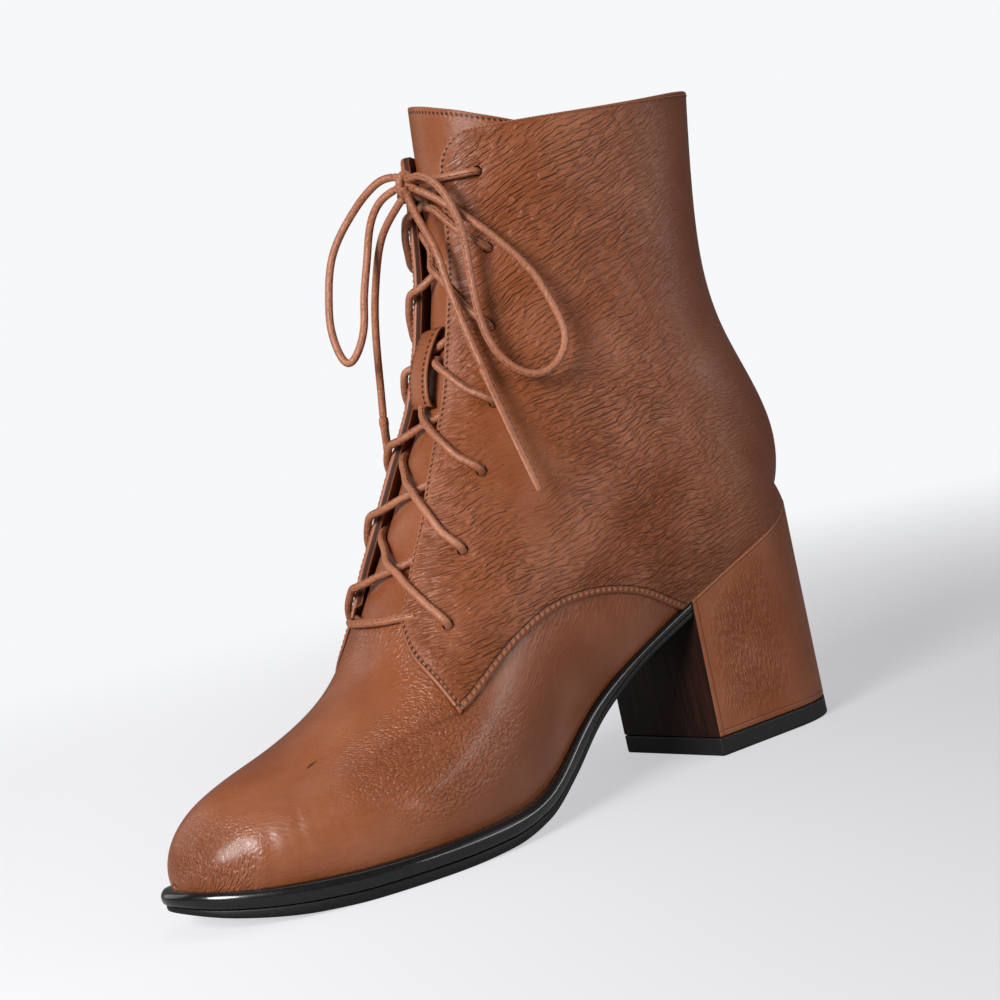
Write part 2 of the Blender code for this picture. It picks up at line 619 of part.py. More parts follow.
def heel_rim_ring(drop, inset=0.0):
    """Outline of the heel's top, which follows the feather line under the seat."""
    first = station_at(BACK_Y, BREAST_Y)
    stations = [first, 0.652, 0.684, 0.705, 0.722, 0.735, 0.745, 0.754, 0.760, 0.765]
    ring = []
    for side, order in ((1, stations), (-1, stations[::-1])):
        for station in order:
            x, y = outline(station, HEEL_EDGE - inset, side)
            if station == first:
                y = BREAST_Y
            ring.append((x, y, float(feather_z(y)) - CLEARANCE - drop))
    return ring


def heel():
    """Covered heel block: from the seat's outline down to its foot."""
    rings = [heel_rim_ring(0.0, EDGE_ROUND), heel_rim_ring(EDGE_ROUND, 0.0)]
    foot_z = LIFT_HEIGHT + CLEARANCE
    rings += [heel_foot_ring(foot_z + EDGE_ROUND), heel_foot_ring(foot_z, EDGE_ROUND / 2)]
    return place("heel_block", rings, material("heel_leather", LEATHER, 0.45), cap_strip=True)


def top_lift():
    """Black lift under the heel, on the floor."""
    rings = [heel_foot_ring(LIFT_HEIGHT), heel_foot_ring(EDGE_ROUND), heel_foot_ring(0.0, EDGE_ROUND / 2)]
    return place("top_lift", rings, material("lift_rubber", BLACK, 0.6), cap_strip=True)


# Lacing
LACE_RADIUS = LACE_DIAMETER / 2
TONGUE_OUTER = -(UPPER_WALL + CLEARANCE)


def throat_height(share):
    """Height for a share counted from the throat's end to the collar."""
    return THROAT_END_Z + share * (COLLAR_FRONT_Z - THROAT_END_Z)


def strand(low, high, side):
    """One strand: from beside its hole, over its facing's edge and the tongue, to the other edge."""
    over = QUARTER_STEP + LACE_RADIUS + LACE_SPARE
    under = TONGUE_OUTER + LACE_RADIUS + LACE_SPARE
    z_low, z_high = throat_height(HOLE_HEIGHTS[low]), throat_height(HOLE_HEIGHTS[high]) + LACE_CLIMB
    start = throat_half(z_low) + HOLE_INSET - LACE_START
    end = -(throat_half(z_high) - LACE_RADIUS - LACE_STOP)
    edge = throat_half(z_low + 0.35 * (z_high - z_low))
    last = edge - LACE_OVERHANG
    foot = last - LACE_DROP
    xs = (start, 0.5 * (start + last), last, foot, 0.5 * foot, 0.0, 0.5 * end, end)
    points = []
    for x in xs:
        z = z_low + (start - x) / (start - end) * (z_high - z_low)
        depth = over if x >= last else under
        points.append(surface_point(side * x, z, depth, lifted=x >= last)[0])
    return points


def crossings():
    """Crossed pairs of strands, one joined piece for each pair of holes."""
    lace = material("lace_leather", PALE_LEATHER, 0.5)
    for low in range(len(HOLE_HEIGHTS) - 1):
        parts = []
        for side in (1, -1):
            half = bmesh.new()
            tube_mesh(half, strand(low, low + 1, side), LACE_RADIUS, STRAND_SIDES)
            bmesh.ops.triangulate(half, faces=half.faces[:])
            bmesh.ops.recalc_face_normals(half, faces=half.faces[:])
            name = f"lace_crossing_{low + 1}" + ("" if side > 0 else "_strand")
            parts.append(wrap(name, half, lace, cutter=side < 0))
        combine(parts[0], parts[1], "UNION")


def lace_bars():
    """Bottom bar across the tongue, and the pair that meets behind the knot at the top."""
    lace = material("lace_bar_leather", PALE_LEATHER, 0.5)
    low = throat_height(-0.010)
    reach = throat_half(low) - LACE_RADIUS - LACE_STOP
    depth = LACE_RADIUS + LACE_SPARE
    route = [surface_point(reach * s, low, depth, lifted=False)[0] for s in (-1, -0.5, 0, 0.5, 1)]
    bar = bmesh.new()
    tube_mesh(bar, route, LACE_RADIUS)
    bmesh.ops.triangulate(bar, faces=bar.faces[:])
    bmesh.ops.recalc_face_normals(bar, faces=bar.faces[:])
    wrap("lace_bar_bottom", bar, lace)
    over = QUARTER_STEP + LACE_RADIUS + LACE_SPARE
    z = throat_height(HOLE_HEIGHTS[-1])
    start = throat_half(z) + HOLE_INSET - LACE_START
    edge = throat_half(z)
    points = []
    for x in (-start, -0.5 * (start + edge), -edge, 0.0, edge, 0.5 * (start + edge), start):
        height = z + (1 - abs(x) / start) * (KNOT_PLACE[2] - z)
        points.append(surface_point(x, height, over)[0])
    points[3][1] = points[2][1] - BAR_BOW
    top = bmesh.new()
    tube_mesh(top, points, LACE_RADIUS)
    bmesh.ops.triangulate(top, faces=top.faces[:])
    bmesh.ops.recalc_face_normals(top, faces=top.faces[:])
    wrap("lace_bar_top", top, lace)


def keeper():
    """Short strap on the tongue that the fourth crossing runs behind."""
    bottom = throat_height(0.5 * (HOLE_HEIGHTS[3] + HOLE_HEIGHTS[4])) - KEEPER_HEIGHT / 2 + KEEPER_RAISE
    hump = LACE_DIAMETER + 4 * LACE_SPARE
    rings = []
    for share in np.linspace(0, 1, 11):
        rise = 2 * CLEARANCE + hump * math.sin(math.pi * share) ** 0.5
        z = bottom + share * KEEPER_HEIGHT
        near, far = [], []
        for across in (-0.5, -0.2, 0.2, 0.5):
            x = across * KEEPER_WIDTH
            near.append(surface_point(x, z, TONGUE_OUTER + rise, lifted=False)[0])
            far.append(surface_point(x, z, TONGUE_OUTER + rise + KEEPER_WALL, lifted=False)[0])
        rings.append(near + far[::-1])
    return place("lace_keeper", rings, material("keeper_leather", LEATHER, 0.5), cap_strip=True)


def cord(name, points, finish):
    """Free stretch of lace along a smooth curve through its route's points."""
    points = np.asarray(points, float)
    walk = np.concatenate([[0], np.cumsum(np.linalg.norm(np.diff(points, axis=0), axis=1))])
    count = max(6, int(walk[-1] / (2.6 * LACE_DIAMETER)))
    curve = bpy.data.curves.new(name, "CURVE")
    curve.dimensions = "3D"
    curve.bevel_depth = LACE_RADIUS
    curve.bevel_resolution = 2
    curve.use_fill_caps = True
    spline = curve.splines.new("POLY")
    route = smooth(walk, points, np.linspace(0, walk[-1], count))
    spline.points.add(count - 1)
    for point, spot in zip(spline.points, route):
        point.co = (*spot, 1.0)
    curve.materials.append(finish)
    thing = bpy.data.objects.new(name, curve)
    bpy.context.collection.objects.link(thing)
    return thing


def tip(name, start, end, finish):
    """Flattened leather tip at a lace's free end."""
    start, end = np.asarray(start, float), np.asarray(end, float)
    along = (end - start) / np.linalg.norm(end - start)
    start = start + along * CLEARANCE
    wide = np.cross(along, (1.0, 0.0, 0.0))
    wide /= np.linalg.norm(wide)
    thick = np.cross(wide, along)
    rings = []
    for share, width, depth in ((0.0, 0.78, 0.9), (0.12, 1.0, 0.62), (0.94, 0.9, 0.5), (1.0, 0.6, 0.4)):
        centre = start + along * TIP_LENGTH * share
        ring = []
        for turn in np.arange(8) * math.pi / 4:
            ring.append(centre + wide * math.cos(turn) * width * TIP_WIDTH / 2
                        + thick * math.sin(turn) * depth * LACE_RADIUS)
        rings.append(ring)
    return place(name, rings, finish)


def bow():
    """Knot, two loops and two ends of the bow."""
    lace = material("bow_leather", PALE_LEATHER, 0.5)
    knot = bmesh.new()
    bmesh.ops.create_uvsphere(knot, u_segments=12, v_segments=8, radius=1.0)
    for vert in knot.verts:
        vert.co = [c + v * r for c, v, r in zip(KNOT_PLACE, vert.co, KNOT_SIZE)]
    wrap("bow_knot", knot, lace)
    cord("bow_loop_lateral", LOOP_LATERAL, lace)
    cord("bow_loop_medial", LOOP_MEDIAL, lace)
    cord("lace_end_lateral", END_LATERAL, lace)
    cord("lace_end_medial", END_MEDIAL, lace)
    tip("lace_tip_lateral", END_LATERAL[-1], TIP_LATERAL_END, lace)
    tip("lace_tip_medial", END_MEDIAL[-1], TIP_MEDIAL_END, lace)


def stand_on_origin():
    """Hang every piece on one empty, with the boot's box, free lace apart, over the origin."""
    things = list(bpy.data.objects)
    view = bpy.context.evaluated_depsgraph_get()
    corners = []
    for thing in things:
        if not (thing.hide_render or thing.name.startswith(FREE_LACE)):
            corners += [tuple(corner) for corner in thing.evaluated_get(view).bound_box]
    corners = np.array(corners)
    middle = (corners.min(axis=0) + corners.max(axis=0)) / 2
    boot = bpy.data.objects.new("boot", None)
    bpy.context.collection.objects.link(boot)
    for thing in things:
        thing.parent = boot
    boot.location = (-middle[0], -middle[1], 0.0)


outsole()
midsole()
heel()
top_lift()
insole()
upper()
tongue()
crossings()
lace_bars()
keeper()
bow()
stand_on_origin()
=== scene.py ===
# %% [markdown]
# # Lace-up ankle boot, left foot
#
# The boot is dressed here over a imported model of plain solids. A shoemaker builds everything on a
# wooden last, so this script does too: one surface, worked out from a table of sections, carries
# the vamp, the quarters, the tongue and the lacing. Each piece then gets its own leather.
# Lengths are metres. X runs across the foot, -Y points at the toe and +Z is up.

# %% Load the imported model
import math

import bmesh
import bpy
import numpy as np
from mathutils import Matrix, Vector


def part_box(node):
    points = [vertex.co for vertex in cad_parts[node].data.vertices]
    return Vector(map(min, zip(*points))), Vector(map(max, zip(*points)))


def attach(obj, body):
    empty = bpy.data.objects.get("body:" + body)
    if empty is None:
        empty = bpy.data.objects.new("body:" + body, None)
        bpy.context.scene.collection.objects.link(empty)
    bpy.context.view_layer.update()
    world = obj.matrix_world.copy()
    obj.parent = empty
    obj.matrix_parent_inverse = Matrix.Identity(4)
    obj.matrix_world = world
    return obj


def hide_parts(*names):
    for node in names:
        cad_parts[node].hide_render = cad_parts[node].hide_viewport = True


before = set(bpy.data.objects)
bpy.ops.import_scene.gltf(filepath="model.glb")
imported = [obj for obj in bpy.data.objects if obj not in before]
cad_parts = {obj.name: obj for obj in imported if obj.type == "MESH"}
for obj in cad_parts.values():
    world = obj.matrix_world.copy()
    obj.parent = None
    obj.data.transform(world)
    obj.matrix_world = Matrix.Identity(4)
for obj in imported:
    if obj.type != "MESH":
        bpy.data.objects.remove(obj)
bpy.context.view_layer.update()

print("packed nodes:", len(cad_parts))

# %% [markdown]
# ## The last
#
# These are the same sizes and tables as the imported model was built with, so every piece lands on its solid.
# Each row is one ring around the foot. Smooth curves through the rows turn a station along the
# last (0 at the toe, 1 at the collar) and an angle around it (0 in front) into a point.

# %% Sizes and tables of the last
# Driving sizes of the whole boot
LENGTH = 0.2495
HEIGHT = 0.217
BALL_WIDTH = 0.078
ANKLE_WIDTH = 0.066
INSTEP_RISE = 0.0665
SEAT_HEIGHT = 0.077
TOE_SPRING = 0.0043
CLEARANCE = 0.0003

# Upper, tongue and insole
UPPER_WALL = 0.0016
QUARTER_STEP = 0.0012
FACING_LIFT = 0.0025
FACING_FADE = 0.028
COLLAR_CORNER = 0.012
COLLAR_DIP = 0.003
COLLAR_FRONT_DROP = 0.0045
THROAT_REACH = 0.115
TONGUE_WALL = 0.0016
INSOLE_THICKNESS = 0.0022
INSOLE_INSET = 0.0029

# Sole and heel
SOLE_THICKNESS = 0.0092
OUTSOLE_THICKNESS = 0.0034
SOLE_EDGE = 0.0036
BREAST_PLACE = 0.734
HEEL_EDGE = 0.0014
HEEL_FOOT_WIDTH = 0.051
HEEL_FOOT_LENGTH = 0.0595
HEEL_FOOT_BULGE = (0.72, 0.80)
LIFT_HEIGHT = 0.006
EDGE_ROUND = 0.0006

# Lace, holes and keeper
LACE_DIAMETER = 0.0025
LACE_SPARE = 0.0004
LACE_OVERHANG = 0.001
LACE_DROP = 0.0050
LACE_START = 0.001
LACE_STOP = 0.0012
LACE_CLIMB = 0.002
HOLE_DIAMETER = 0.0034
HOLE_INSET = 0.0105
KEEPER_WIDTH = 0.010
KEEPER_HEIGHT = 0.024
KEEPER_RAISE = 0.0032
KEEPER_WALL = 0.0014
TIP_LENGTH = 0.042
TIP_WIDTH = 0.0032


# Foot sections, toe to throat. ridge_y and feather_y are shares of LENGTH from the toe, rise of
# INSTEP_RISE above the feather line, spring of TOE_SPRING, seat of the heel's lift, lateral,
# medial and centre of BALL_WIDTH, and feather is the flat underside's share of the width.
FOOT_SECTIONS = (
    # station ridge_y  rise   feather_y spring seat  lateral medial feather centre
    (0.000, 0.0100, 0.015, 0.0100, 1.00, 0.000, 0.013, 0.013, 0.90, -0.064),
    (0.030, 0.0180, 0.143, 0.0200, 0.88, 0.000, 0.154, 0.103, 0.95, -0.064),
    (0.070, 0.0421, 0.284, 0.0521, 0.56, 0.000, 0.276, 0.192, 0.96, -0.058),
    (0.130, 0.0922, 0.403, 0.1082, 0.23, 0.000, 0.385, 0.308, 0.955, -0.045),
    (0.210, 0.1643, 0.500, 0.1804, 0.02, 0.000, 0.468, 0.410, 0.95, -0.026),
    (0.300, 0.2385, 0.620, 0.2685, 0.00, 0.000, 0.506, 0.487, 0.94, 0.000),
    (0.390, 0.3006, 0.810, 0.3647, 0.00, 0.009, 0.506, 0.494, 0.905, 0.006),
)

# Shaft sections, throat to just past the collar. front and back are shares of the height from
# the throat, or the heel seat, to the collar, and lateral and medial are shares of ANKLE_WIDTH.
SHAFT_SECTIONS = (
    # station front_y front  back_y  seat   back  lateral medial feather centre
    (0.460, 0.3407, 0.000, 0.4529, 0.071, 0.000, 0.558, 0.528, 0.81, 0.000),
    (0.530, 0.3872, 0.132, 0.5571, 0.309, 0.000, 0.512, 0.482, 0.68, 0.000),
    (0.600, 0.4325, 0.273, 0.6774, 0.539, 0.000, 0.497, 0.467, 0.73, 0.000),
    (0.660, 0.4681, 0.382, 0.8056, 0.743, 0.000, 0.497, 0.474, 0.80, 0.000),
    (0.700, 0.4850, 0.456, 0.8938, 0.868, 0.000, 0.497, 0.474, 0.79, 0.000),
    (0.730, 0.4970, 0.508, 0.9435, 0.936, 0.000, 0.497, 0.474, 0.58, 0.000),
    (0.750, 0.5042, 0.544, 0.9679, 0.975, 0.000, 0.497, 0.474, 0.34, 0.000),
    (0.765, 0.5090, 0.573, 0.9780, 1.000, 0.000, 0.497, 0.474, 0.03, 0.000),
    (0.800, 0.5178, 0.626, 0.9960, 1.000, 0.112, 0.497, 0.474, 0.01, 0.000),
    (0.860, 0.5307, 0.724, 0.9491, 1.000, 0.386, 0.474, 0.467, 0.01, 0.000),
    (0.930, 0.5403, 0.848, 0.9371, 1.000, 0.693, 0.497, 0.489, 0.01, 0.000),
    (1.000, 0.5475, 0.970, 0.9651, 1.000, 1.000, 0.542, 0.527, 0.01, 0.000),
    (1.060, 0.5551, 1.079, 0.9752, 1.000, 1.107, 0.565, 0.550, 0.01, 0.000),
)

# How far the facings stand off the tongue, as shares of FACING_LIFT, by station
LIFT_ROWS = ((0.40, 0.0), (0.44, 0.0), (0.50, 0.75), (0.56, 1.0), (0.86, 1.0), (0.94, 0.75), (1.06, 0.5))

# Throat between the facings: height as a share from its end to the collar, half width as a
# share of ANKLE_WIDTH
THROAT_ROWS = ((-0.10, 0.340), (-0.06, 0.300), (-0.035, 0.262), (0.0, 0.234), (0.04, 0.236), (0.12, 0.230),
    (0.20, 0.221), (0.26, 0.203), (0.36, 0.179), (0.46, 0.159), (0.56, 0.146), (0.69, 0.146),
    (0.84, 0.147), (1.08, 0.149))

# Tongue: how far it wraps to each side, in radians around the last, by station
TONGUE_ROWS = ((0.415, 0.66), (0.50, 0.72), (0.62, 0.82), (0.98, 1.02), (1.01, 0.73), (1.04, 0.45))

# Lower edge of the quarters from the side, front edge first, then the curved seam to the sole:
# y as a share of LENGTH from the toe, height as a share of INSTEP_RISE above the floor
SEAM_ROWS = ((0.3117, 0.97), (0.3143, 0.90), (0.3175, 0.81), (0.3222, 0.725), (0.3274, 0.64),
    (0.3480, 0.675), (0.3700, 0.722), (0.4120, 0.815), (0.4570, 0.895), (0.5030, 0.947), (0.5430, 0.958),
    (0.5880, 0.942), (0.6220, 0.912), (0.6550, 0.865), (0.6880, 0.800), (0.7180, 0.745))

# Sole from the side: y as a share of LENGTH, tread height as a share of the seat height, and
# the outsole's share of its thickness
TREAD_ROWS = ((0.0, 0.056, 0.9), (0.04, 0.034, 0.95), (0.12, 0.009, 1.0), (0.18, 0.0, 1.0),
    (0.27, 0.0, 1.0), (0.357, 0.008, 0.95), (0.425, 0.043, 0.85), (0.493, 0.147, 0.72),
    (0.573, 0.338, 0.62), (0.653, 0.495, 0.58), (0.740, 0.618, 0.58))

# Width of the sole's edge beyond the upper, as shares of SOLE_EDGE, by station
EDGE_ROWS = ((0.0, 0.62), (0.13, 0.80), (0.30, 0.95), (0.39, 1.05), (0.46, 0.80), (0.53, 0.45), (0.70, 0.40))

# Heights of the lace holes, as shares from the throat's end to the collar, from the bottom up
HOLE_HEIGHTS = (-0.040, 0.103, 0.256, 0.395, 0.560, 0.731, 0.902)

# Routes of the lace's free stretches, from the knot outwards
KNOT_PLACE = (0.0035, 0.0015, 0.2008)
KNOT_SIZE = (0.0042, 0.0034, 0.0046)
LOOP_LATERAL = ((0.0083, 0.0010, 0.2013), (0.0116, 0.0010, 0.2010), (0.0160, 0.0022, 0.1985),
    (0.0212, 0.0036, 0.1905), (0.0225, 0.0048, 0.1820), (0.0222, 0.0050, 0.1735), (0.0228, 0.0040, 0.1620),
    (0.0240, 0.0036, 0.1520), (0.0260, 0.0046, 0.1440), (0.0290, 0.0088, 0.1366), (0.0322, 0.0150, 0.1335),
    (0.0345, 0.0215, 0.1365), (0.0352, 0.0252, 0.1435), (0.0340, 0.0243, 0.1525), (0.0320, 0.0216, 0.1625),
    (0.0280, 0.0155, 0.1740), (0.0222, 0.0100, 0.1835), (0.0150, 0.0052, 0.1917), (0.0106, 0.0029, 0.1956),
    (0.0073, 0.0018, 0.1978))
LOOP_MEDIAL = ((0.0000, -0.0002, 0.2035), (-0.0032, -0.0020, 0.2037), (-0.0085, -0.0050, 0.2015),
    (-0.0165, -0.0095, 0.1948), (-0.0210, -0.0155, 0.1850), (-0.0230, -0.0198, 0.1700),
    (-0.0225, -0.0212, 0.1580), (-0.0198, -0.0194, 0.1502), (-0.0168, -0.0148, 0.1562),
    (-0.0150, -0.0118, 0.1680), (-0.0130, -0.0080, 0.1822), (-0.0098, -0.0058, 0.1922),
    (-0.0045, -0.0030, 0.1980), (-0.0005, -0.0005, 0.1996))
END_LATERAL = ((0.0048, 0.0000, 0.1962), (0.0090, -0.0006, 0.1880), (0.0142, -0.0006, 0.1780),
    (0.0166, -0.0008, 0.1680), (0.0190, -0.0008, 0.1582), (0.0218, -0.0003, 0.1473),
    (0.0240, 0.0004, 0.1385))
END_MEDIAL = ((0.0008, 0.0008, 0.1965), (-0.0042, -0.0006, 0.1930), (-0.0112, -0.0022, 0.1870),
    (-0.0176, -0.0033, 0.1765), (-0.0216, -0.0040, 0.1670), (-0.0250, -0.0050, 0.1525),
    (-0.0270, -0.0056, 0.1405), (-0.0285, -0.0062, 0.1310))
TIP_LATERAL_END = (0.0390, 0.0016, 0.0960)
TIP_MEDIAL_END = (-0.0325, -0.0080, 0.0900)


# %% Curves through a table
def metres_y(share):
    """Place along the boot for a share of LENGTH counted from the toe of the sole."""
    return (share - 0.5) * LENGTH


def smooth(knots, rows, at):
    """Natural cubic curve through the rows of a table."""
    knots = np.asarray(knots, float)
    rows = np.asarray(rows, float).reshape(len(knots), -1)
    count = len(knots)
    gap = np.diff(knots)
    system = np.eye(count)
    known = np.zeros(rows.shape)
    for i in range(1, count - 1):
        system[i, i - 1:i + 2] = gap[i - 1], 2 * (gap[i - 1] + gap[i]), gap[i]
        known[i] = 6 * ((rows[i + 1] - rows[i]) / gap[i] - (rows[i] - rows[i - 1]) / gap[i - 1])
    bend = np.linalg.solve(system, known)
    at = np.clip(np.asarray(at, float), knots[0], knots[-1])
    cell = np.clip(np.searchsorted(knots, at, side="right") - 1, 0, count - 2)
    after = (at - knots[cell])[..., None]
    before = (knots[cell + 1] - at)[..., None]
    wide = gap[cell][..., None]
    cubic = (bend[cell] * before ** 3 + bend[cell + 1] * after ** 3) / (6 * wide)
    low = (rows[cell] / wide - bend[cell] * wide / 6) * before
    high = (rows[cell + 1] / wide - bend[cell + 1] * wide / 6) * after
    return cubic + low + high


def steady(table, column, at):
    """Curve through a table that never swings past its rows, so level stretches stay level."""
    knots = np.array([row[0] for row in table])
    values = np.array([row[column] for row in table])
    gap = np.diff(knots)
    slope = np.diff(values) / gap
    lean = np.zeros(len(knots))
    for i in range(1, len(knots) - 1):
        if slope[i - 1] * slope[i] > 0:
            lean[i] = 2 * slope[i - 1] * slope[i] / (slope[i - 1] + slope[i])
    lean[0], lean[-1] = slope[0], slope[-1]
    at = np.clip(np.asarray(at, float), knots[0], knots[-1])
    cell = np.clip(np.searchsorted(knots, at, side="right") - 1, 0, len(gap) - 1)
    s = (at - knots[cell]) / gap[cell]
    start = values[cell] * (1 + 2 * s) * (1 - s) ** 2 + lean[cell] * gap[cell] * s * (1 - s) ** 2
    return start + values[cell + 1] * s ** 2 * (3 - 2 * s) - lean[cell + 1] * gap[cell] * s ** 2 * (1 - s)


# %% The last as a smooth surface
SEAT_RISE = SEAT_HEIGHT - SOLE_THICKNESS
THROAT_Z = SOLE_THICKNESS + SHAFT_SECTIONS[0][4] * SEAT_RISE + INSTEP_RISE
THROAT_END_Z = THROAT_Z - THROAT_REACH * INSTEP_RISE
COLLAR_FRONT_Z = HEIGHT - COLLAR_FRONT_DROP
STATION, FRONT_Y, FRONT_Z, BACK_Y, BACK_Z, LATERAL, MEDIAL, FEATHER, CENTRE = range(9)


def foot_row(row):
    """One foot section in metres, in the order of the names above."""
    station, ridge_y, rise, feather_y, spring, seat, lateral, medial, feather, centre = row
    back_z = SOLE_THICKNESS + spring * TOE_SPRING + seat * SEAT_RISE
    return (station, metres_y(ridge_y), back_z + rise * INSTEP_RISE, metres_y(feather_y), back_z,
        lateral * BALL_WIDTH, medial * BALL_WIDTH, feather, centre * BALL_WIDTH)


def shaft_row(row):
    """One shaft section in metres, in the same order."""
    station, front_y, front, back_y, seat, back, lateral, medial, feather, centre = row
    front_z = THROAT_Z + front * (HEIGHT - THROAT_Z)
    back_z = SOLE_THICKNESS + seat * SEAT_RISE + back * (HEIGHT - SEAT_HEIGHT)
    return (station, metres_y(front_y), front_z, metres_y(back_y), back_z, lateral * ANKLE_WIDTH,
        medial * ANKLE_WIDTH, feather, centre * ANKLE_WIDTH)


SECTIONS = np.array([foot_row(row) for row in FOOT_SECTIONS] + [shaft_row(row) for row in SHAFT_SECTIONS])


def bare_form(station, angle):
    """Point on the last: angle 0 on the ridge in front, a half turn at the sole or the back."""
    row = smooth(SECTIONS[:, 0], SECTIONS, station)
    reach = 1 + np.sqrt(1 - np.clip(row[..., FEATHER], 0, 0.99) ** 2)
    across = np.sin(angle)
    half = np.where(across > 0, row[..., LATERAL], row[..., MEDIAL])
    down = (1 - np.cos(angle)) / reach
    return np.stack([row[..., CENTRE] + half * across, row[..., FRONT_Y]
        + (row[..., BACK_Y] - row[..., FRONT_Y]) * down, row[..., FRONT_Z]
        + (row[..., BACK_Z] - row[..., FRONT_Z]) * down], -1)


def outward(station, angle):
    """Direction that points straight out of the last's surface."""
    step_s, step_a = 0.003, 0.03
    low = np.clip(station - step_s, 0, None)
    along = bare_form(station + step_s, angle) - bare_form(low, angle)
    around = bare_form(station, angle + step_a) - bare_form(station, angle - step_a)
    normal = np.cross(around, along)
    normal /= np.linalg.norm(normal, axis=-1, keepdims=True)
    return normal


def flare(station, across):
    """Share of FACING_LIFT that a point has, by its station and its distance from the ridge."""
    inner = THROAT_ROWS[-1][1] * ANKLE_WIDTH
    away = np.clip((np.abs(across) - inner) / FACING_FADE, 0, 1)
    return steady(LIFT_ROWS, 1, station) * 0.5 * (1 + np.cos(np.pi * away))


def form(station, angle, offset=0.0, lifted=True):
    """Point at a distance from the last's surface, on the facings' own lift when lifted."""
    station, angle = np.broadcast_arrays(np.asarray(station, float), np.asarray(angle, float))
    point = bare_form(station, angle)
    total = np.zeros(station.shape) + offset
    if lifted:
        front = np.cos(angle) > 0
        total = total + np.where(front, flare(station, point[..., 0]) * FACING_LIFT, 0.0)
    return point + outward(station, angle) * total[..., None]


def feather_z(y):
    """Height of the feather line, where the upper meets the sole, at a place along the boot."""
    station = np.linspace(0, 0.765, 300)
    row = smooth(SECTIONS[:, 0], SECTIONS, station)
    end_slope = (row[-1, BACK_Z] - row[-20, BACK_Z]) / (row[-1, BACK_Y] - row[-20, BACK_Y])
    beyond = np.clip(np.asarray(y, float) - row[-1, BACK_Y], 0, None) * end_slope
    return np.interp(y, row[:, BACK_Y], row[:, BACK_Z]) + beyond


def tread_z(y):
    """Height of the tread under the sole."""
    return steady(TREAD_ROWS, 1, y / LENGTH + 0.5) * SEAT_HEIGHT


def split_z(y):
    """Height of the join between outsole and midsole."""
    return tread_z(y) + steady(TREAD_ROWS, 2, y / LENGTH + 0.5) * OUTSOLE_THICKNESS


def outline(station, margin, side):
    """Point of the feather outline from above, moved outwards by a margin."""
    step = 0.004
    at = np.array([max(station - step, 0), station, min(station + step, 0.765)])
    row = smooth(SECTIONS[:, 0], SECTIONS, at)
    half = row[:, FEATHER] * row[:, LATERAL if side > 0 else MEDIAL]
    x, y = row[:, CENTRE] + side * half, row[:, BACK_Y]
    along = np.array([x[2] - x[0], y[2] - y[0]])
    along /= np.hypot(*along)
    return x[1] + side * along[1] * margin, y[1] - side * along[0] * margin


def station_at(column, value, low=0.0, high=0.765):
    """Station at which a column of the sections reaches a value."""
    for _ in range(50):
        middle = 0.5 * (low + high)
        if smooth(SECTIONS[:, 0], SECTIONS, middle)[column] < value:
            low = middle
        else:
            high = middle
    return 0.5 * (low + high)


def throat_half(z):
    """Half width of the throat at a height, with the rounded corners below the collar."""
    share = (z - THROAT_END_Z) / (COLLAR_FRONT_Z - THROAT_END_Z)
    half = float(steady(THROAT_ROWS, 1, share)) * ANKLE_WIDTH
    into = z - (COLLAR_FRONT_Z - COLLAR_CORNER)
    if into > 0:
        into = min(into, COLLAR_CORNER)
        half += COLLAR_CORNER - math.sqrt(COLLAR_CORNER ** 2 - into ** 2)
    return half


def ridge_y(z):
    """Place of the last's front ridge at a height."""
    station = np.linspace(0.2, 1.06, 300)
    row = smooth(SECTIONS[:, 0], SECTIONS, station)
    return float(np.interp(z, row[:, FRONT_Z], row[:, FRONT_Y]))

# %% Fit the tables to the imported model
BREAST_Y = metres_y(BREAST_PLACE)
lift_low, lift_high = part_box("top_lift")
SHIFT = np.array([(lift_low.x + lift_high.x) / 2, lift_low.y - BREAST_Y, 0.0])
print("shift to the packed frame, mm:", np.round(SHIFT * 1000, 2))

# %% [markdown]
# ## Camera
#
# The photograph looks at the outer side from low in front, and the camera is rolled, so the boot
# leans back in the picture although it stands level. A long lens keeps the heel and toe in scale.

# %% Camera
VIEW_AZIMUTH, VIEW_ELEVATION, VIEW_ROLL = math.radians(55.8), math.radians(2.6), math.radians(-12.7)
VIEW_DISTANCE, VIEW_LENS = 0.600, 67.64
VIEW_TARGET = np.array((-0.0008, 0.01265, 0.0973)) + SHIFT

back = np.array((math.sin(VIEW_AZIMUTH) * math.cos(VIEW_ELEVATION),
    -math.cos(VIEW_AZIMUTH) * math.cos(VIEW_ELEVATION), math.sin(VIEW_ELEVATION)))
right = np.array((math.cos(VIEW_AZIMUTH), math.sin(VIEW_AZIMUTH), 0.0))
above = np.cross(back, right)
across_view = math.cos(VIEW_ROLL) * right + math.sin(VIEW_ROLL) * above
up_view = math.cos(VIEW_ROLL) * above - math.sin(VIEW_ROLL) * right

camera = bpy.data.objects.new("camera", bpy.data.cameras.new("camera"))
camera.data.lens = VIEW_LENS
camera.data.sensor_width = 36.0
camera.data.clip_start = 0.01
turned = Matrix((across_view, up_view, back)).transposed().to_4x4()
camera.matrix_world = Matrix.Translation(VIEW_TARGET + back * VIEW_DISTANCE) @ turned
bpy.context.collection.objects.link(camera)
bpy.context.scene.camera = camera
print("camera at, m:", [round(v, 3) for v in camera.matrix_world.translation])

# %% [markdown]
# ## Shared tools
#
# A piece is built from arrays of points and faces, given maps for its leather, and turned so that
# its faces point outwards. Maps are stored in metres: one says where a point is on the hide, others
# how far it is from a cut edge, so that grain, stitches and dark edges keep their real size.

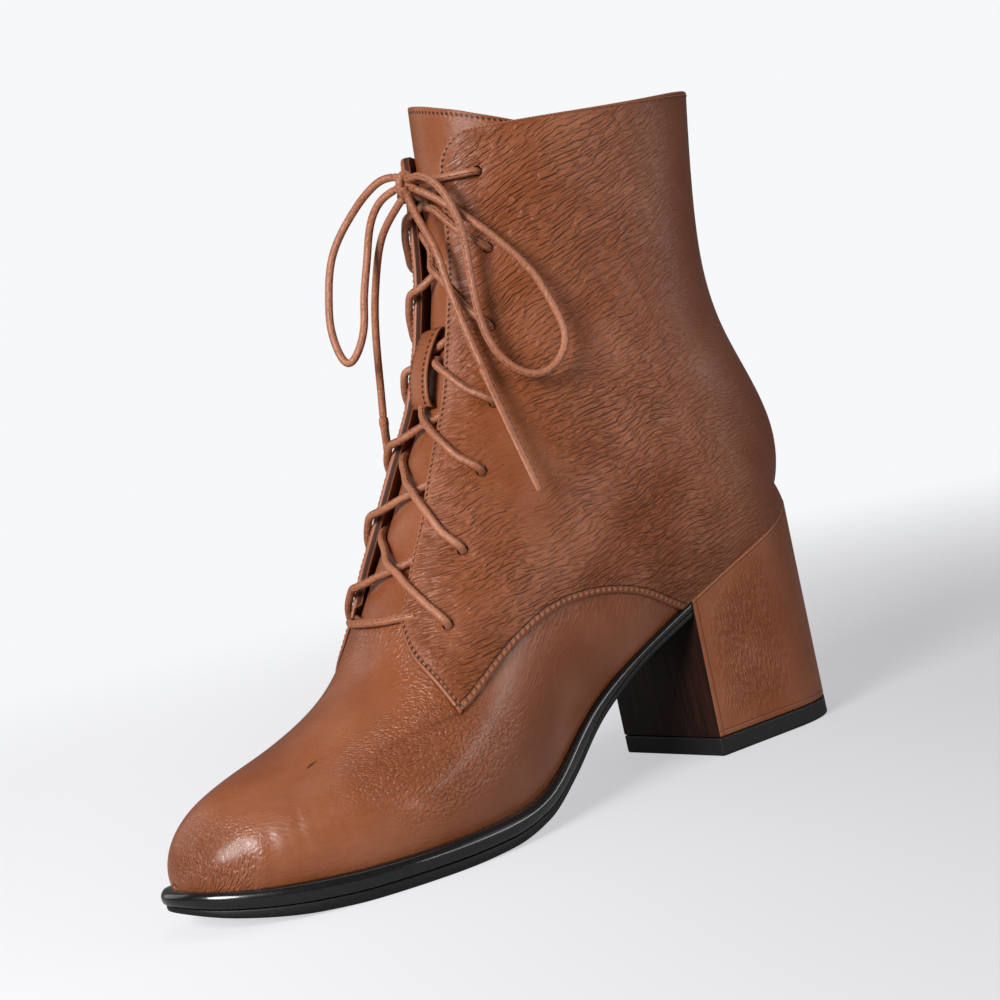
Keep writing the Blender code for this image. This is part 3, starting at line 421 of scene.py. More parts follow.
# %% Mesh tools
def finish_mesh(mesh, maps):
    """Give a mesh its maps, smooth shading and faces that point outwards."""
    corner = np.zeros(len(mesh.loops), int)
    mesh.loops.foreach_get("vertex_index", corner)
    for label, values in maps.items():
        layer = mesh.uv_layers.new(name=label)
        flat = np.asarray(values, np.float32).reshape(-1, 2)[corner].ravel()
        layer.data.foreach_set("uv", flat)
    work = bmesh.new()
    work.from_mesh(mesh)
    bmesh.ops.recalc_face_normals(work, faces=work.faces[:])
    work.to_mesh(mesh)
    work.free()
    mesh.shade_smooth()


def piece(name, points, faces, finishes, maps=None, second=None):
    """Mesh object from points and faces. Faces listed in second take the second finish."""
    mesh = bpy.data.meshes.new(name)
    mesh.from_pydata((np.asarray(points, float).reshape(-1, 3) + SHIFT).tolist(), [], faces)
    finish_mesh(mesh, maps or {})
    for finish in finishes:
        mesh.materials.append(finish)
    if second is not None:
        mesh.polygons.foreach_set("material_index", np.asarray(second, np.int32))
    thing = bpy.data.objects.new(name, mesh)
    bpy.context.collection.objects.link(thing)
    return thing


def quads(index):
    """Faces between neighbouring rows and columns of a grid of point numbers."""
    return np.stack([index[:-1, :-1], index[1:, :-1], index[1:, 1:], index[:-1, 1:]], -1).reshape(-1, 4)


def boundary(index):
    """Point numbers once round the edge of a grid."""
    return np.concatenate([index[0, :-1], index[:-1, -1], index[-1, :0:-1], index[:0:-1, 0]])


def shell(name, outer, inner, finishes, maps):
    """Closed panel from the grids of its two sides, with a rim between them."""
    count = outer.shape[0] * outer.shape[1]
    index = np.arange(count).reshape(outer.shape[:2])
    edge = boundary(index)
    following = np.roll(edge, -1)
    rim = np.stack([edge, following, following + count, edge + count], -1)
    front, back_side = quads(index), quads(index + count)[:, ::-1]
    faces = np.concatenate([front, rim, back_side])
    # Cut edges take the third finish when there is one: the dark edge dye, which also paints shade along the
    # edges
    cut_edge = 2 if len(finishes) > 2 else 0
    lining = np.concatenate([np.zeros(len(front)), np.full(len(rim), cut_edge), np.ones(len(back_side))])
    points = np.concatenate([outer.reshape(-1, 3), inner.reshape(-1, 3)])
    doubled = {label: np.concatenate([values.reshape(-1, 2)] * 2) for label, values in maps.items()}
    second = lining if len(finishes) > 1 else None
    return piece(name, points, faces.tolist(), finishes, doubled, second)


def walk(points, axis):
    """Distance walked along each line of a grid of points."""
    steps = np.linalg.norm(np.diff(points, axis=axis), axis=-1)
    start = np.zeros_like(np.take(steps, [0], axis=axis))
    return np.concatenate([start, np.cumsum(steps, axis=axis)], axis=axis)


def spread(length, step, fine=(True, True)):
    """Shares from 0 to 1 for a line of a length, close together near the fine ends."""
    near = np.array([0.0, 0.10, 0.25, 0.45, 0.70, 1.00, 1.35, 1.75, 2.25, 2.9, 3.7, 4.7]) / 1000
    low = near if fine[0] else near[:1]
    high = length - (near if fine[1] else near[:1])[::-1]
    middle = np.linspace(low[-1], high[0], max(3, int((high[0] - low[-1]) / step)))
    return np.concatenate([low[:-1], middle, high[1:]]) / length


# %% Curves on the last
def by_length(points, shares):
    """Shares of a fine polyline's row count at which shares of its length are reached."""
    steps = np.linalg.norm(np.diff(points, axis=0), axis=1)
    total = np.concatenate([[0], np.cumsum(steps)])
    return np.interp(np.asarray(shares) * total[-1], total, np.arange(len(total))), total[-1]


def even_points(line, shares):
    """Points of a flat line at shares of its length."""
    at, _ = by_length(line, shares)
    return np.stack([np.interp(at, np.arange(len(line)), line[:, k]) for k in (0, 1)], -1)


def along_curve(pairs, shares, offset=0.0):
    """Stations and angles at shares of the real length of a curve on the last."""
    pairs = np.asarray(pairs, float)
    at, length = by_length(form(pairs[:, 0], pairs[:, 1], offset), shares)
    rows = np.arange(len(pairs))
    return np.stack([np.interp(at, rows, pairs[:, 0]), np.interp(at, rows, pairs[:, 1])], -1), length


def through(anchors, count=400):
    """Smooth curve through a few stations and angles."""
    anchors = np.asarray(anchors, float)
    place = form(anchors[:, 0], anchors[:, 1])
    steps = np.concatenate([[0], np.cumsum(np.linalg.norm(np.diff(place, axis=0), axis=1))])
    return smooth(steps, anchors, np.linspace(0, steps[-1], count))


def on_last(targets, columns, side, window, offset=QUARTER_STEP):
    """Stations and angles of points known by some of their coordinates, on one side of the last."""
    targets = np.asarray(targets, float)
    station, angle = np.meshgrid(np.linspace(*window[:2], 90), side * np.linspace(*window[2:], 120))
    net = form(station, angle, offset)[..., columns].reshape(-1, len(columns))
    nearest = np.argmin(np.linalg.norm(net[None] - targets[:, None], axis=-1), axis=1)
    found = np.stack([station.ravel()[nearest], angle.ravel()[nearest]], -1)
    step = 1e-4
    for _ in range(12):
        here = form(found[:, 0], found[:, 1], offset)[:, columns]
        by_station = (form(found[:, 0] + step, found[:, 1], offset)[:, columns] - here) / step
        by_angle = (form(found[:, 0], found[:, 1] + step, offset)[:, columns] - here) / step
        for row in range(len(found)):
            slope = np.stack([by_station[row], by_angle[row]], -1)
            change = np.linalg.lstsq(slope, targets[row] - here[row], rcond=1e-6)[0]
            found[row] += np.clip(change, -0.05, 0.05)
    return found


def patch(left, right_side, bottom, top, rows, columns):
    """Grid of stations and angles between four curves, by blending opposite sides."""
    s, t = rows[:, None, None], columns[None, :, None]
    edges = (1 - t) * left[:, None] + t * right_side[:, None] + (1 - s) * bottom[None] + s * top[None]
    corners = ((1 - s) * (1 - t) * bottom[0] + (1 - s) * t * bottom[-1] + s * (1 - t) * top[0] + s * t
        * top[-1])
    return edges - corners

# %% [markdown]
# ## Quarters
#
# The two quarters wrap the ankle and carry the lacing. On paper each is one flat pattern, so here
# each is one grid stretched between its four real edges: the front edge with its rounded collar
# corner, the collar, the back seam and the curved seam over the vamp. A grid that ends exactly on
# its edges lets the leather roll over them and lets the stitches run at a constant distance.

# %% Edges of a quarter
def collar_level(y):
    """Height of the collar line at a place along the boot."""
    front, rear = SECTIONS[-2, FRONT_Y], SECTIONS[-2, BACK_Y]
    inside = np.clip((y - front) / (rear - front), 0, 1)
    return COLLAR_FRONT_Z + (HEIGHT - COLLAR_FRONT_Z) * inside - COLLAR_DIP * np.sin(np.pi * inside)


def halve(low, high, is_low):
    """Values between low and high at which a test changes, found by halving the range."""
    for _ in range(40):
        middle = (low + high) / 2
        under = is_low(middle)
        low, high = np.where(under, middle, low), np.where(under, high, middle)
    return (low + high) / 2


def collar_curve(angles):
    """Stations and angles along the collar line."""
    def under(station):
        point = form(station, angles, QUARTER_STEP)
        return point[:, 2] < collar_level(point[:, 1])
    return np.stack([halve(np.full(len(angles), 0.90), np.full(len(angles), 1.06), under), angles], -1)


FEATHER_TUCK = 0.001


def feather_curve(stations, side):
    """Stations and angles just below the feather line, where the sole hides the edge."""
    def over(angle):
        point = form(stations, side * angle, 0.0)
        return point[:, 2] > feather_z(point[:, 1]) - FEATHER_TUCK
    first, last = np.full(len(stations), 0.4 * np.pi), np.full(len(stations), np.pi)
    return np.stack([stations, side * halve(first, last, over)], -1)


def heel_station():
    """Station at which the back of the last reaches the feather line."""
    def below(station):
        point = form(station, np.array([np.pi]), 0.0)
        return point[:, 2] < feather_z(point[:, 1]) - FEATHER_TUCK
    return float(halve(np.array([0.72]), np.array([0.79]), below)[0])


def front_edge(side):
    """Front edge of a quarter, from its point on the vamp up to its collar corner."""
    low = [(metres_y(y), h * INSTEP_RISE) for y, h in SEAM_ROWS[4:0:-1]]
    found = [on_last(low, [1, 2], side, (0.30, 0.46, 0.4, 1.7))]
    corner = COLLAR_FRONT_Z - COLLAR_CORNER
    heights = [0.0665, 0.0700, 0.0740, 0.0785] + list(np.linspace(0.085, corner, 10))
    heights += [corner + COLLAR_CORNER * math.sin(a) for a in (0.35, 0.7, 1.0, 1.25, 1.4)]
    sites = [(side * throat_half(z), z) for z in heights]
    found.append(on_last(sites, [0, 2], side, (0.38, 1.06, 0.05, 1.1)))
    return through(np.concatenate(found), 600)


def quarter_edges(side):
    """Front edge, back seam, lower edge and collar of a quarter, as curves on the last."""
    front = front_edge(side)
    seam = [(metres_y(y), h * INSTEP_RISE) for y, h in SEAM_ROWS[5:]]
    seam = np.concatenate([front[:1], on_last(seam, [1, 2], side, (0.33, 0.68, 0.8, 2.6))])
    seam = through(seam, 300)
    heel = heel_station()
    reach = seam[-1, 0] + (heel - seam[-1, 0]) * np.sin(np.linspace(0, np.pi / 2, 150)[1:])
    feather = feather_curve(reach, side)
    feather[-1, 1] = side * np.pi
    collar = collar_curve(front[-1, 1] + (side * np.pi - front[-1, 1]) * np.linspace(0, 1, 300))
    collar[0] = front[-1]
    rear = np.stack([np.linspace(heel, collar[-1, 0], 200), np.full(200, side * np.pi)], -1)
    return front, rear, np.concatenate([seam, feather]), collar, len(seam)


# %% Grid of a quarter
def quarter_grid(side, step=0.0013):
    """Stations and angles of a quarter's grid, with the columns that lie over the seam."""
    front, rear, low, collar, seam_count = quarter_edges(side)
    _, height = along_curve(front, [0.0])
    _, width = along_curve(low, [0.0])
    rows, columns = spread(height, step), spread(width, step)
    seam_length = along_curve(low[:seam_count], [0.0])[1]
    grid = patch(along_curve(front, rows)[0], along_curve(rear, rows)[0], along_curve(low, columns)[0],
        along_curve(collar, columns)[0], rows, columns)
    return grid, columns * width < seam_length, rows * height, columns * width


def roll(distance, radius):
    """How far a rolled edge of a radius has dropped at a distance from the edge."""
    into = radius - np.clip(distance, 0, radius)
    return radius - np.sqrt(radius ** 2 - into ** 2)


def near_line(points, line):
    """Distance of each point of a grid from a line of points."""
    flat = points.reshape(-1, 3)
    best = np.full(len(flat), 1.0)
    for spot in line[::2]:
        best = np.minimum(best, np.linalg.norm(flat - spot, axis=1))
    return best.reshape(points.shape[:2])


EDGE_ROLL = 0.0010
LAP_WIDTH = 0.0060


def quarter(side, name, finishes):
    """One quarter with its holes, and the places of its stitches and of its seam's pads."""
    grid, over_seam, up, along = quarter_grid(side)
    station, angle = grid[..., 0], grid[..., 1]
    flat = form(station, angle, QUARTER_STEP)
    from_front, from_low = walk(flat, 1), walk(flat, 0)
    from_back = from_front[:, -1:] - from_front
    from_collar = from_low[-1:] - from_low
    from_seam = np.where(over_seam[None, :], from_low, 0.05)
    from_edge = np.minimum(from_front, from_collar)
    outer = QUARTER_STEP - roll(np.minimum(from_edge, from_seam), EDGE_ROLL)
    outer = outer - 0.0004 * np.exp(-(from_back / 0.0007) ** 2)
    holes = np.array([hole_place(index, side)[0] for index in range(len(HOLE_HEIGHTS))])
    from_hole = np.linalg.norm(flat[:, :, None] - holes, axis=-1).min(axis=2)
    outer = outer - 0.00040 * np.exp(-(np.maximum(from_hole - 0.0012, 0) / 0.0014) ** 2)
    low_front = flat[flat[:, 0, 2] < THROAT_END_Z, 0]
    lap = near_line(flat, np.concatenate([low_front, flat[0, over_seam]]))
    share = np.clip((lap - LAP_WIDTH) / 0.0012, 0, 1)
    inner = 0.0001 - (UPPER_WALL + 0.0001) * share + roll(from_edge, 0.0005)
    across = walk(flat * (1, 1, 0), 1)
    hide = np.stack([across[:, -1:] - across, flat[..., 2]], -1)
    arc = np.where(from_front < from_collar, up[:, None], up[-1] + along[None, :])
    maps = {"hide": hide, "edge": np.stack([from_edge, arc], -1), "seam": np.stack([from_seam,
        np.broadcast_to(along, from_seam.shape)], -1)}
    skin, raised = form(station, angle, outer), form(station, angle, outer + 0.001)
    made = shell(name, skin, form(station, angle, inner), finishes, maps)
    punch(made, side)
    facing = row_places(skin, raised, from_front, up, STITCH_LINE, STITCH_PITCH, from_collar)
    turned = [values[::-1].swapaxes(0, 1) for values in (skin, raised, from_collar, from_front)]
    collar = row_places(*turned[:3], up[-1] + along, STITCH_LINE, STITCH_PITCH, turned[3])
    lower = [values.swapaxes(0, 1)[over_seam] for values in (skin, raised, from_low, from_front)]
    seam = row_places(*lower[:3], along[over_seam], SEAM_LINE / 2, SEAM_PITCH, lower[3])
    return made, np.concatenate([facing, collar]), seam


def row_places(skin, raised, away, arc, line, pitch, other):
    """Places halfway between the needle holes of a row at a distance from an edge, with directions."""
    rows = []
    for spots, lifted, distance, beside in zip(skin, raised, away, other):
        at = [np.interp(line, distance, spots[:, k]) for k in range(3)]
        over = [np.interp(line, distance, lifted[:, k]) for k in range(3)]
        rows.append(at + over + [np.interp(line, distance, beside)])
    rows = np.array(rows)
    middles = pitch * (np.arange(math.ceil(arc[0] / pitch), math.floor(arc[-1] / pitch)) + 0.5)
    found = np.stack([np.interp(middles, arc, rows[:, k]) for k in range(7)], -1)
    ahead = np.gradient(found[:, :3], axis=0)
    out = found[:, 3:6] - found[:, :3]
    places = np.concatenate([found[:, :3], ahead, out], axis=1)
    return places[found[:, 6] > line]


# %% Lace holes
def punch(thing, side):
    """Cut the lace holes through a quarter with one set of round cutters."""
    turn = np.linspace(0, 2 * math.pi, 24, endpoint=False)
    points, faces = [], []
    for index in range(len(HOLE_HEIGHTS)):
        centre, out = hole_place(index, side)
        wide = np.cross(out, (0.0, 0.0, 1.0))
        wide /= np.linalg.norm(wide)
        circle = np.cos(turn)[:, None] * wide + np.sin(turn)[:, None] * np.cross(out, wide)
        start = len(points)
        for depth in (0.003, -0.005):
            points.extend(centre + circle * HOLE_DIAMETER / 2 + out * depth)
        ring = [start + k for k in range(24)]
        faces += [[a, b, b + 24, a + 24] for a, b in zip(ring, ring[1:] + ring[:1])]
        faces += [ring, [k + 24 for k in ring]]
    finishes = list(thing.data.materials)
    # The cutters' faces take the third finish, the dark edge dye, which paints shade inside the lace holes
    cutter = piece("hole_cutters", np.array(points), faces, finishes, {}, np.full(len(faces), 2))
    cut = thing.modifiers.new("lace_holes", "BOOLEAN")
    cut.operation, cut.solver, cut.object = "DIFFERENCE", "EXACT", cutter
    shaped = thing.evaluated_get(bpy.context.evaluated_depsgraph_get())
    mesh = bpy.data.meshes.new_from_object(shaped)
    thing.modifiers.clear()
    thing.data = mesh
    mesh.name = thing.name
    mesh.set_sharp_from_angle(angle=math.radians(55))
    bpy.data.objects.remove(cutter)

# %% [markdown]
# ## Vamp
#
# The vamp covers the toes and runs back under the quarters on both sides. Its grid ends at the
# feather line, where the sole hides it, and a few millimetres inside the quarters' edges. Only its
# throat edge, between the facings, is seen.

# %% Vamp
VAMP_TUCK = 0.0050


def inside_quarter(side):
    """Line a little inside a quarter's front and seam, where the vamp ends underneath."""
    grid, over_seam, _, _ = quarter_grid(side, 0.002)
    flat = form(grid[..., 0], grid[..., 1], QUARTER_STEP)
    from_front, from_low = walk(flat, 1), walk(flat, 0)
    line = []
    for row in range(len(flat) - 1, -1, -1):
        z = flat[row, 0, 2]
        if 0.050 < z < THROAT_END_Z - 0.004 and from_low[row, 0] > 0.012:
            column = np.interp(VAMP_TUCK, from_front[row], np.arange(flat.shape[1]))
            line.append(grid[row, int(round(column))])
    for column in np.flatnonzero(over_seam):
        if from_front[min(8, len(flat) - 1), column] > 0.010:
            row = np.interp(VAMP_TUCK, from_low[:, column], np.arange(len(flat)))
            line.append(grid[int(round(row)), column])
    return np.array(line)


def vamp_edges():
    """Medial feather line, lateral feather line, toe and back edge of the vamp."""
    halves = []
    for side in (1, -1):
        line = inside_quarter(side)
        throat = on_last([(side * x, THROAT_END_Z) for x in (0.001, 0.008, 0.0155)], [0, 2], side,
            (0.38, 0.56, 0.0, 0.7), offset=0.0)
        keep = line[:: max(1, len(line) // 12)]
        last = feather_curve(np.array([line[-1, 0] + 0.006]), side)
        halves.append(through(np.concatenate([throat, keep, last]), 300))
    lateral, medial = halves
    top = np.concatenate([medial[::-1], lateral])
    ends = []
    for side, stop in ((-1, medial[-1, 0]), (1, lateral[-1, 0])):
        reach = stop * (1 - np.cos(np.linspace(0, np.pi / 2, 200)))
        ends.append(feather_curve(reach, side))
    toe = np.stack([np.zeros(60), np.linspace(ends[0][0, 1], ends[1][0, 1], 60)], -1)
    return ends[0], ends[1], toe, top


# Creases: points across and along the hide in millimetres, then depth and half width
CREASES = ((((20, 41), (30, 35.5), (36, 31), (41, 29), (46, 28)), 0.22, 0.9),
    (((36, 38), (42, 41), (48, 46)), 0.17, 0.9), (((38, 33), (44, 36.5), (50, 41)), 0.18, 0.9),
    (((24, 20), (31, 18), (39, 15)), 0.20, 1.3), (((27, 27), (34, 23), (42, 19)), 0.20, 1.3),
    (((-44, 30), (-33, 34), (-22, 41)), 0.26, 1.4), (((-50, 42), (-42, 38), (-35, 36)), 0.22, 1.3),
    (((44, 52), (52, 55), (60, 61)), 0.16, 1.6))


def vamp_relief(hide):
    """Soft creases with a low ridge beside them, and shallow dents."""
    flat = hide * 1000
    total = 0.10 * np.sin(flat[..., 0] / 7.5 + 1.3 * np.sin(flat[..., 1] / 11)) * np.sin(flat[..., 1] / 9.0)
    for points, depth, width in CREASES:
        points = np.array(points, float)
        line = np.stack([np.interp(np.linspace(0, len(points) - 1, 60), np.arange(len(points)),
            points[:, k]) for k in (0, 1)], -1)
        gap = np.linalg.norm(flat[:, :, None] - line, axis=-1)
        nearest = gap.argmin(axis=2)
        gap = gap.min(axis=2)
        fade = np.sin(np.pi * np.clip(nearest / 59, 0.03, 0.97)) ** 0.6
        total = total + depth * fade * (0.45 * np.exp(-((gap - 2 * width) / width) ** 2)
            - np.exp(-(gap / width) ** 2))
    return total / 1000


def vamp(finishes):
    """Vamp, open at the throat and underneath."""
    medial, lateral, toe, top = vamp_edges()
    _, length = along_curve(lateral, [0.0])
    _, width = along_curve(top, [0.0])
    rows, columns = spread(length, 0.0014, (False, True)), np.linspace(0, 1, 190)
    toe_row = np.stack([np.zeros(len(columns)), np.interp(columns, [0, 1], toe[[0, -1], 1])], -1)
    grid = patch(along_curve(medial, rows)[0], along_curve(lateral, rows)[0], toe_row,
        along_curve(top, columns)[0], rows, columns)
    station, angle = grid[..., 0], grid[..., 1]
    flat = form(station, angle, 0.0)
    from_edge = walk(flat, 0)
    from_edge = from_edge[-1:] - from_edge
    across = walk(flat, 1)
    middle = np.array([np.interp(0.0, angle[row], across[row]) for row in range(len(flat))])
    ridge = np.array([np.interp(0.0, angle[row], station[row]) for row in range(len(flat))])
    line = form(ridge, np.zeros(len(ridge)), 0.0)
    along = np.concatenate([[0], np.cumsum(np.linalg.norm(np.diff(line, axis=0), axis=1))])
    hide = np.stack([across - middle[:, None], np.broadcast_to(along[:, None], across.shape)], -1)
    maps = {"hide": hide, "edge": np.stack([from_edge, across], -1)}
    outer = vamp_relief(hide) - roll(from_edge, 0.0007)
    inner = -UPPER_WALL + roll(from_edge, 0.0005)
    return shell("vamp", form(station, angle, outer), form(station, angle, inner), finishes, maps)

# %% [markdown]
# ## Tongue and lace keeper
#
# The tongue is a single wide leaf behind the lacing, wrapped inside the quarters, with a rolled top
# edge that stands above the collar. The keeper is a short strap on it that holds the lace in place.

# %% Tongue
TONGUE_OUTER = -(UPPER_WALL + CLEARANCE)
# Top edge of the tongue by angle: it stands higher on the inner side of the foot
TONGUE_TOP = ((-1.02, 1.058), (-0.80, 1.064), (-0.45, 1.059), (-0.20, 1.054), (0.0, 1.048), (0.20, 1.039),
    (0.40, 1.028), (0.60, 1.014), (0.80, 1.000), (1.02, 0.985))


def tongue(finishes):
    """Tongue with rolled edges."""
    first, sides = TONGUE_ROWS[0][0], []
    for side, last in ((-1, TONGUE_TOP[0][1]), (1, TONGUE_TOP[-1][1])):
        stations = np.linspace(first, last, 200)
        reach = np.interp(stations, *np.transpose(TONGUE_ROWS))
        sides.append(np.stack([stations, side * reach], -1))
    turns = np.linspace(sides[0][-1, 1], sides[1][-1, 1], 200)
    top = np.stack([steady(TONGUE_TOP, 1, turns), turns], -1)
    top[[0, -1], 0] = sides[0][-1, 0], sides[1][-1, 0]
    low = np.stack([np.full(100, first), np.linspace(sides[0][0, 1], sides[1][0, 1], 100)], -1)
    _, length = along_curve(sides[1], [0.0])
    _, width = along_curve(top, [0.0])
    rows, columns = spread(length, 0.0013, (False, True)), spread(width, 0.0012)
    grid = patch(along_curve(sides[0], rows)[0], along_curve(sides[1], rows)[0],
        along_curve(low, columns)[0], along_curve(top, columns)[0], rows, columns)
    station, angle = grid[..., 0], grid[..., 1]
    flat = form(station, angle, TONGUE_OUTER, lifted=False)
    up, across = walk(flat, 0), walk(flat, 1)
    from_top = up[-1:] - up
    from_side = np.minimum(across, across[:, -1:] - across)
    from_edge = np.minimum(from_top, from_side)
    arc = np.broadcast_to(columns * width, from_top.shape)
    maps = {"hide": np.stack([across - across[:, -1:] / 2, up], -1), "edge": np.stack([from_top, arc], -1)}
    outer = form(station, angle, TONGUE_OUTER - roll(from_edge, 0.0007), lifted=False)
    inner = form(station, angle, TONGUE_OUTER - TONGUE_WALL + roll(from_edge, 0.0007), lifted=False)
    return shell("tongue_leaf", outer, inner, finishes, maps)


# %% Point on the front of the last
def front_points(xs, zs, offsets, lifted):
    """Points in front at distances from the last, by their places across and their heights."""
    xs, zs = np.asarray(xs, float), np.asarray(zs, float)
    lifted = np.broadcast_to(lifted, xs.shape)
    station = np.interp(zs, SECTIONS[:, FRONT_Z][4:], SECTIONS[:, 0][4:])
    row = smooth(SECTIONS[:, 0], SECTIONS, station)
    angle = np.arcsin(np.clip((xs - row[:, CENTRE]) / row[:, LATERAL], -0.95, 0.95))
    step = 1e-4

    def at(u, a):
        bare, raised = form(u, a, offsets, lifted=False), form(u, a, offsets)
        return np.where(lifted[:, None], raised, bare)

    for _ in range(30):
        here = at(station, angle)
        by_u, by_a = (at(station + step, angle) - here) / step, (at(station, angle + step) - here) / step
        miss_x, miss_z = xs - here[:, 0], zs - here[:, 2]
        scale = by_u[:, 0] * by_a[:, 2] - by_a[:, 0] * by_u[:, 2]
        station += np.clip((miss_x * by_a[:, 2] - miss_z * by_a[:, 0]) / scale, -0.02, 0.02)
        angle += np.clip((by_u[:, 0] * miss_z - by_u[:, 2] * miss_x) / scale, -0.1, 0.1)
    return at(station, angle), outward(station, angle)


# %% Keeper
def throat_height(share):
    """Height for a share counted from the throat's end to the collar."""
    return THROAT_END_Z + share * (COLLAR_FRONT_Z - THROAT_END_Z)


def keeper(finishes):
    """Strap that arches over the lace and lies on the tongue at both ends."""
    low = throat_height(0.5 * (HOLE_HEIGHTS[3] + HOLE_HEIGHTS[4])) - KEEPER_HEIGHT / 2 + KEEPER_RAISE
    hump = LACE_DIAMETER + 4 * LACE_SPARE
    rows, columns = spread(KEEPER_HEIGHT, 0.0006), spread(KEEPER_WIDTH, 0.0006)
    share, place = np.meshgrid(rows, columns, indexing="ij")
    rise = 2 * CLEARANCE + hump * np.clip(np.sin(np.pi * share), 0, 1) ** 0.5
    x, z = ((place - 0.5) * KEEPER_WIDTH).ravel(), (low + share * KEEPER_HEIGHT).ravel()
    from_side = np.minimum(place, 1 - place) * KEEPER_WIDTH
    from_end = np.minimum(share, 1 - share) * KEEPER_HEIGHT
    from_edge = np.minimum(from_side, from_end)
    soft = roll(from_edge, 0.0006)
    top = (TONGUE_OUTER + rise + KEEPER_WALL - soft).ravel()
    under = (TONGUE_OUTER + rise + 0.3 * soft).ravel()
    outer = front_points(x, z, top, False)[0].reshape(*share.shape, 3)
    inner = front_points(x, z, under, False)[0].reshape(*share.shape, 3)
    maps = {"hide": np.stack([x, z], -1), "edge": np.stack([from_side, share * KEEPER_HEIGHT], -1)}
    return shell("keeper_strap", outer, inner, finishes, maps)

# %% [markdown]
# ## Sole and heel
#
# The sole is drawn once from above, as the feather outline moved outwards, and each layer rounds
# that outline in its own way. The heel is a stack of outlines from the curved seat down to a
# D-shaped foot, covered in leather all round except at its dark front, the breast.

# %% Loft of closed rings
def loft(name, rings, finishes, maps=None, second=None, last_face=True):
    """Closed piece through rings of points, with a flat face at each end."""
    rings = np.asarray(rings, float)
    count, size = rings.shape[:2]
    index = np.arange(count * size).reshape(count, size)
    faces = quads(np.concatenate([index, index[:, :1]], axis=1)).tolist()
    faces += [index[0].tolist(), index[-1].tolist()][:1 + last_face]
    return piece(name, rings.reshape(-1, 3), faces, finishes, maps, second)


# %% Outline of the sole
BREAST_STATION = station_at(BACK_Y, BREAST_Y - CLEARANCE)


def soften(values, reach=6):
    """Values smoothed along a line, with its ends kept."""
    weights = np.exp(-(np.arange(-reach, reach + 1) / (reach / 2)) ** 2)
    padded = np.concatenate([2 * values[0] - values[reach:0:-1], values,
        2 * values[-1] - values[-2:-reach - 2:-1]])
    return np.convolve(padded, weights / weights.sum(), "valid")


def sole_outline(count=521):
    """Feather outline from above with outward directions, from the outer breast round the toe."""
    reach = BREAST_STATION * (1 - np.cos(np.linspace(0, np.pi / 2, 600)))
    row = smooth(SECTIONS[:, 0], SECTIONS, reach)
    lateral = np.stack([row[:, CENTRE] + row[:, FEATHER] * row[:, LATERAL], row[:, BACK_Y]], -1)
    medial = np.stack([row[:, CENTRE] - row[:, FEATHER] * row[:, MEDIAL], row[:, BACK_Y]], -1)
    line = np.concatenate([lateral[::-1], medial])
    reach = np.concatenate([reach[::-1], reach])
    at, _ = by_length(line, np.linspace(0, 1, count))
    rows = np.arange(len(line))
    line = np.stack([soften(np.interp(at, rows, line[:, k])) for k in (0, 1)], -1)
    along = np.gradient(line, axis=0)
    along /= np.linalg.norm(along, axis=1, keepdims=True)
    out = np.stack([soften(along[:, 1]), -soften(along[:, 0])], -1)
    out *= np.sign(out[0, 0])
    return line, out, np.interp(at, rows, reach)


SOLE_LINE, SOLE_OUT, SOLE_REACH = sole_outline()
SOLE_ARC = np.concatenate([[0], np.cumsum(np.linalg.norm(np.diff(SOLE_LINE, axis=0), axis=1))])
print("outline of the sole, mm:", round(SOLE_ARC[-1] * 1000))


# %% Layers of the sole
TOE_EDGE, TOE_LIFT = 0.0016, 0.0030


def toe_lift(y):
    """Extra height of the tread at the very tip of the toe."""
    return TOE_LIFT * np.clip((-0.095 - y) / 0.030, 0, 1.2) ** 1.6


def sole_layer(name, profile, top, bottom, finishes):
    """Layer of the sole from its profile: shares of the edge's width and of the layer's height."""
    margin = steady(EDGE_ROWS, 1, SOLE_REACH) * SOLE_EDGE + TOE_EDGE * np.exp(-(SOLE_REACH / 0.035) ** 2)
    half = len(SOLE_LINE) // 2 + 1
    sides = []
    for share, drop in profile:
        line = SOLE_LINE + SOLE_OUT * (margin * share)[:, None]
        line[:, 1] = np.minimum(line[:, 1], BREAST_Y - CLEARANCE)
        height = top(line[:, 1]) * (1 - drop) + bottom(line[:, 1]) * drop
        sides.append(np.column_stack([line, height]))
    sides = np.array(sides)
    outer, inner = sides[:, :half], sides[:, ::-1][:, :half]
    shares = np.linspace(0, 1, 8)[1:-1, None, None]

    def bridge(start, end, level):
        spots = start + (end - start) * shares
        spots[..., 2] = level(spots[..., 1])
        return spots

    under = bridge(outer[-1], inner[-1], bottom)
    over = bridge(inner[0], outer[0], top)
    rings = np.concatenate([outer, under, inner[::-1], over]).transpose(1, 0, 2)
    arc = np.broadcast_to(SOLE_ARC[:half, None], rings.shape[:2])
    layer = loft(name, rings, finishes, {"hide": np.stack([arc, rings[..., 2]], -1)}, last_face=False)
    weld(layer)
    return layer


def weld(thing):
    """Join points that share a place, and drop the faces that vanish."""
    work = bmesh.new()
    work.from_mesh(thing.data)
    bmesh.ops.remove_doubles(work, verts=work.verts, dist=2e-6)
    bmesh.ops.dissolve_degenerate(work, edges=work.edges, dist=1e-7)
    bmesh.ops.recalc_face_normals(work, faces=work.faces[:])
    work.to_mesh(thing.data)
    work.free()


def rounded_band(top_share, full_share, low_share, low_start):
    """Profile of a band with rounded upper and lower corners."""
    up = [(top_share + (full_share - top_share) * math.sin(a), 0.50 * (1 - math.cos(a)))
        for a in np.linspace(0, math.pi / 2, 9)]
    down = [(low_share + (full_share - low_share) * math.cos(a), low_start + (1 - low_start) * math.sin(a))
        for a in np.linspace(0, math.pi / 2, 7)]
    return up + down


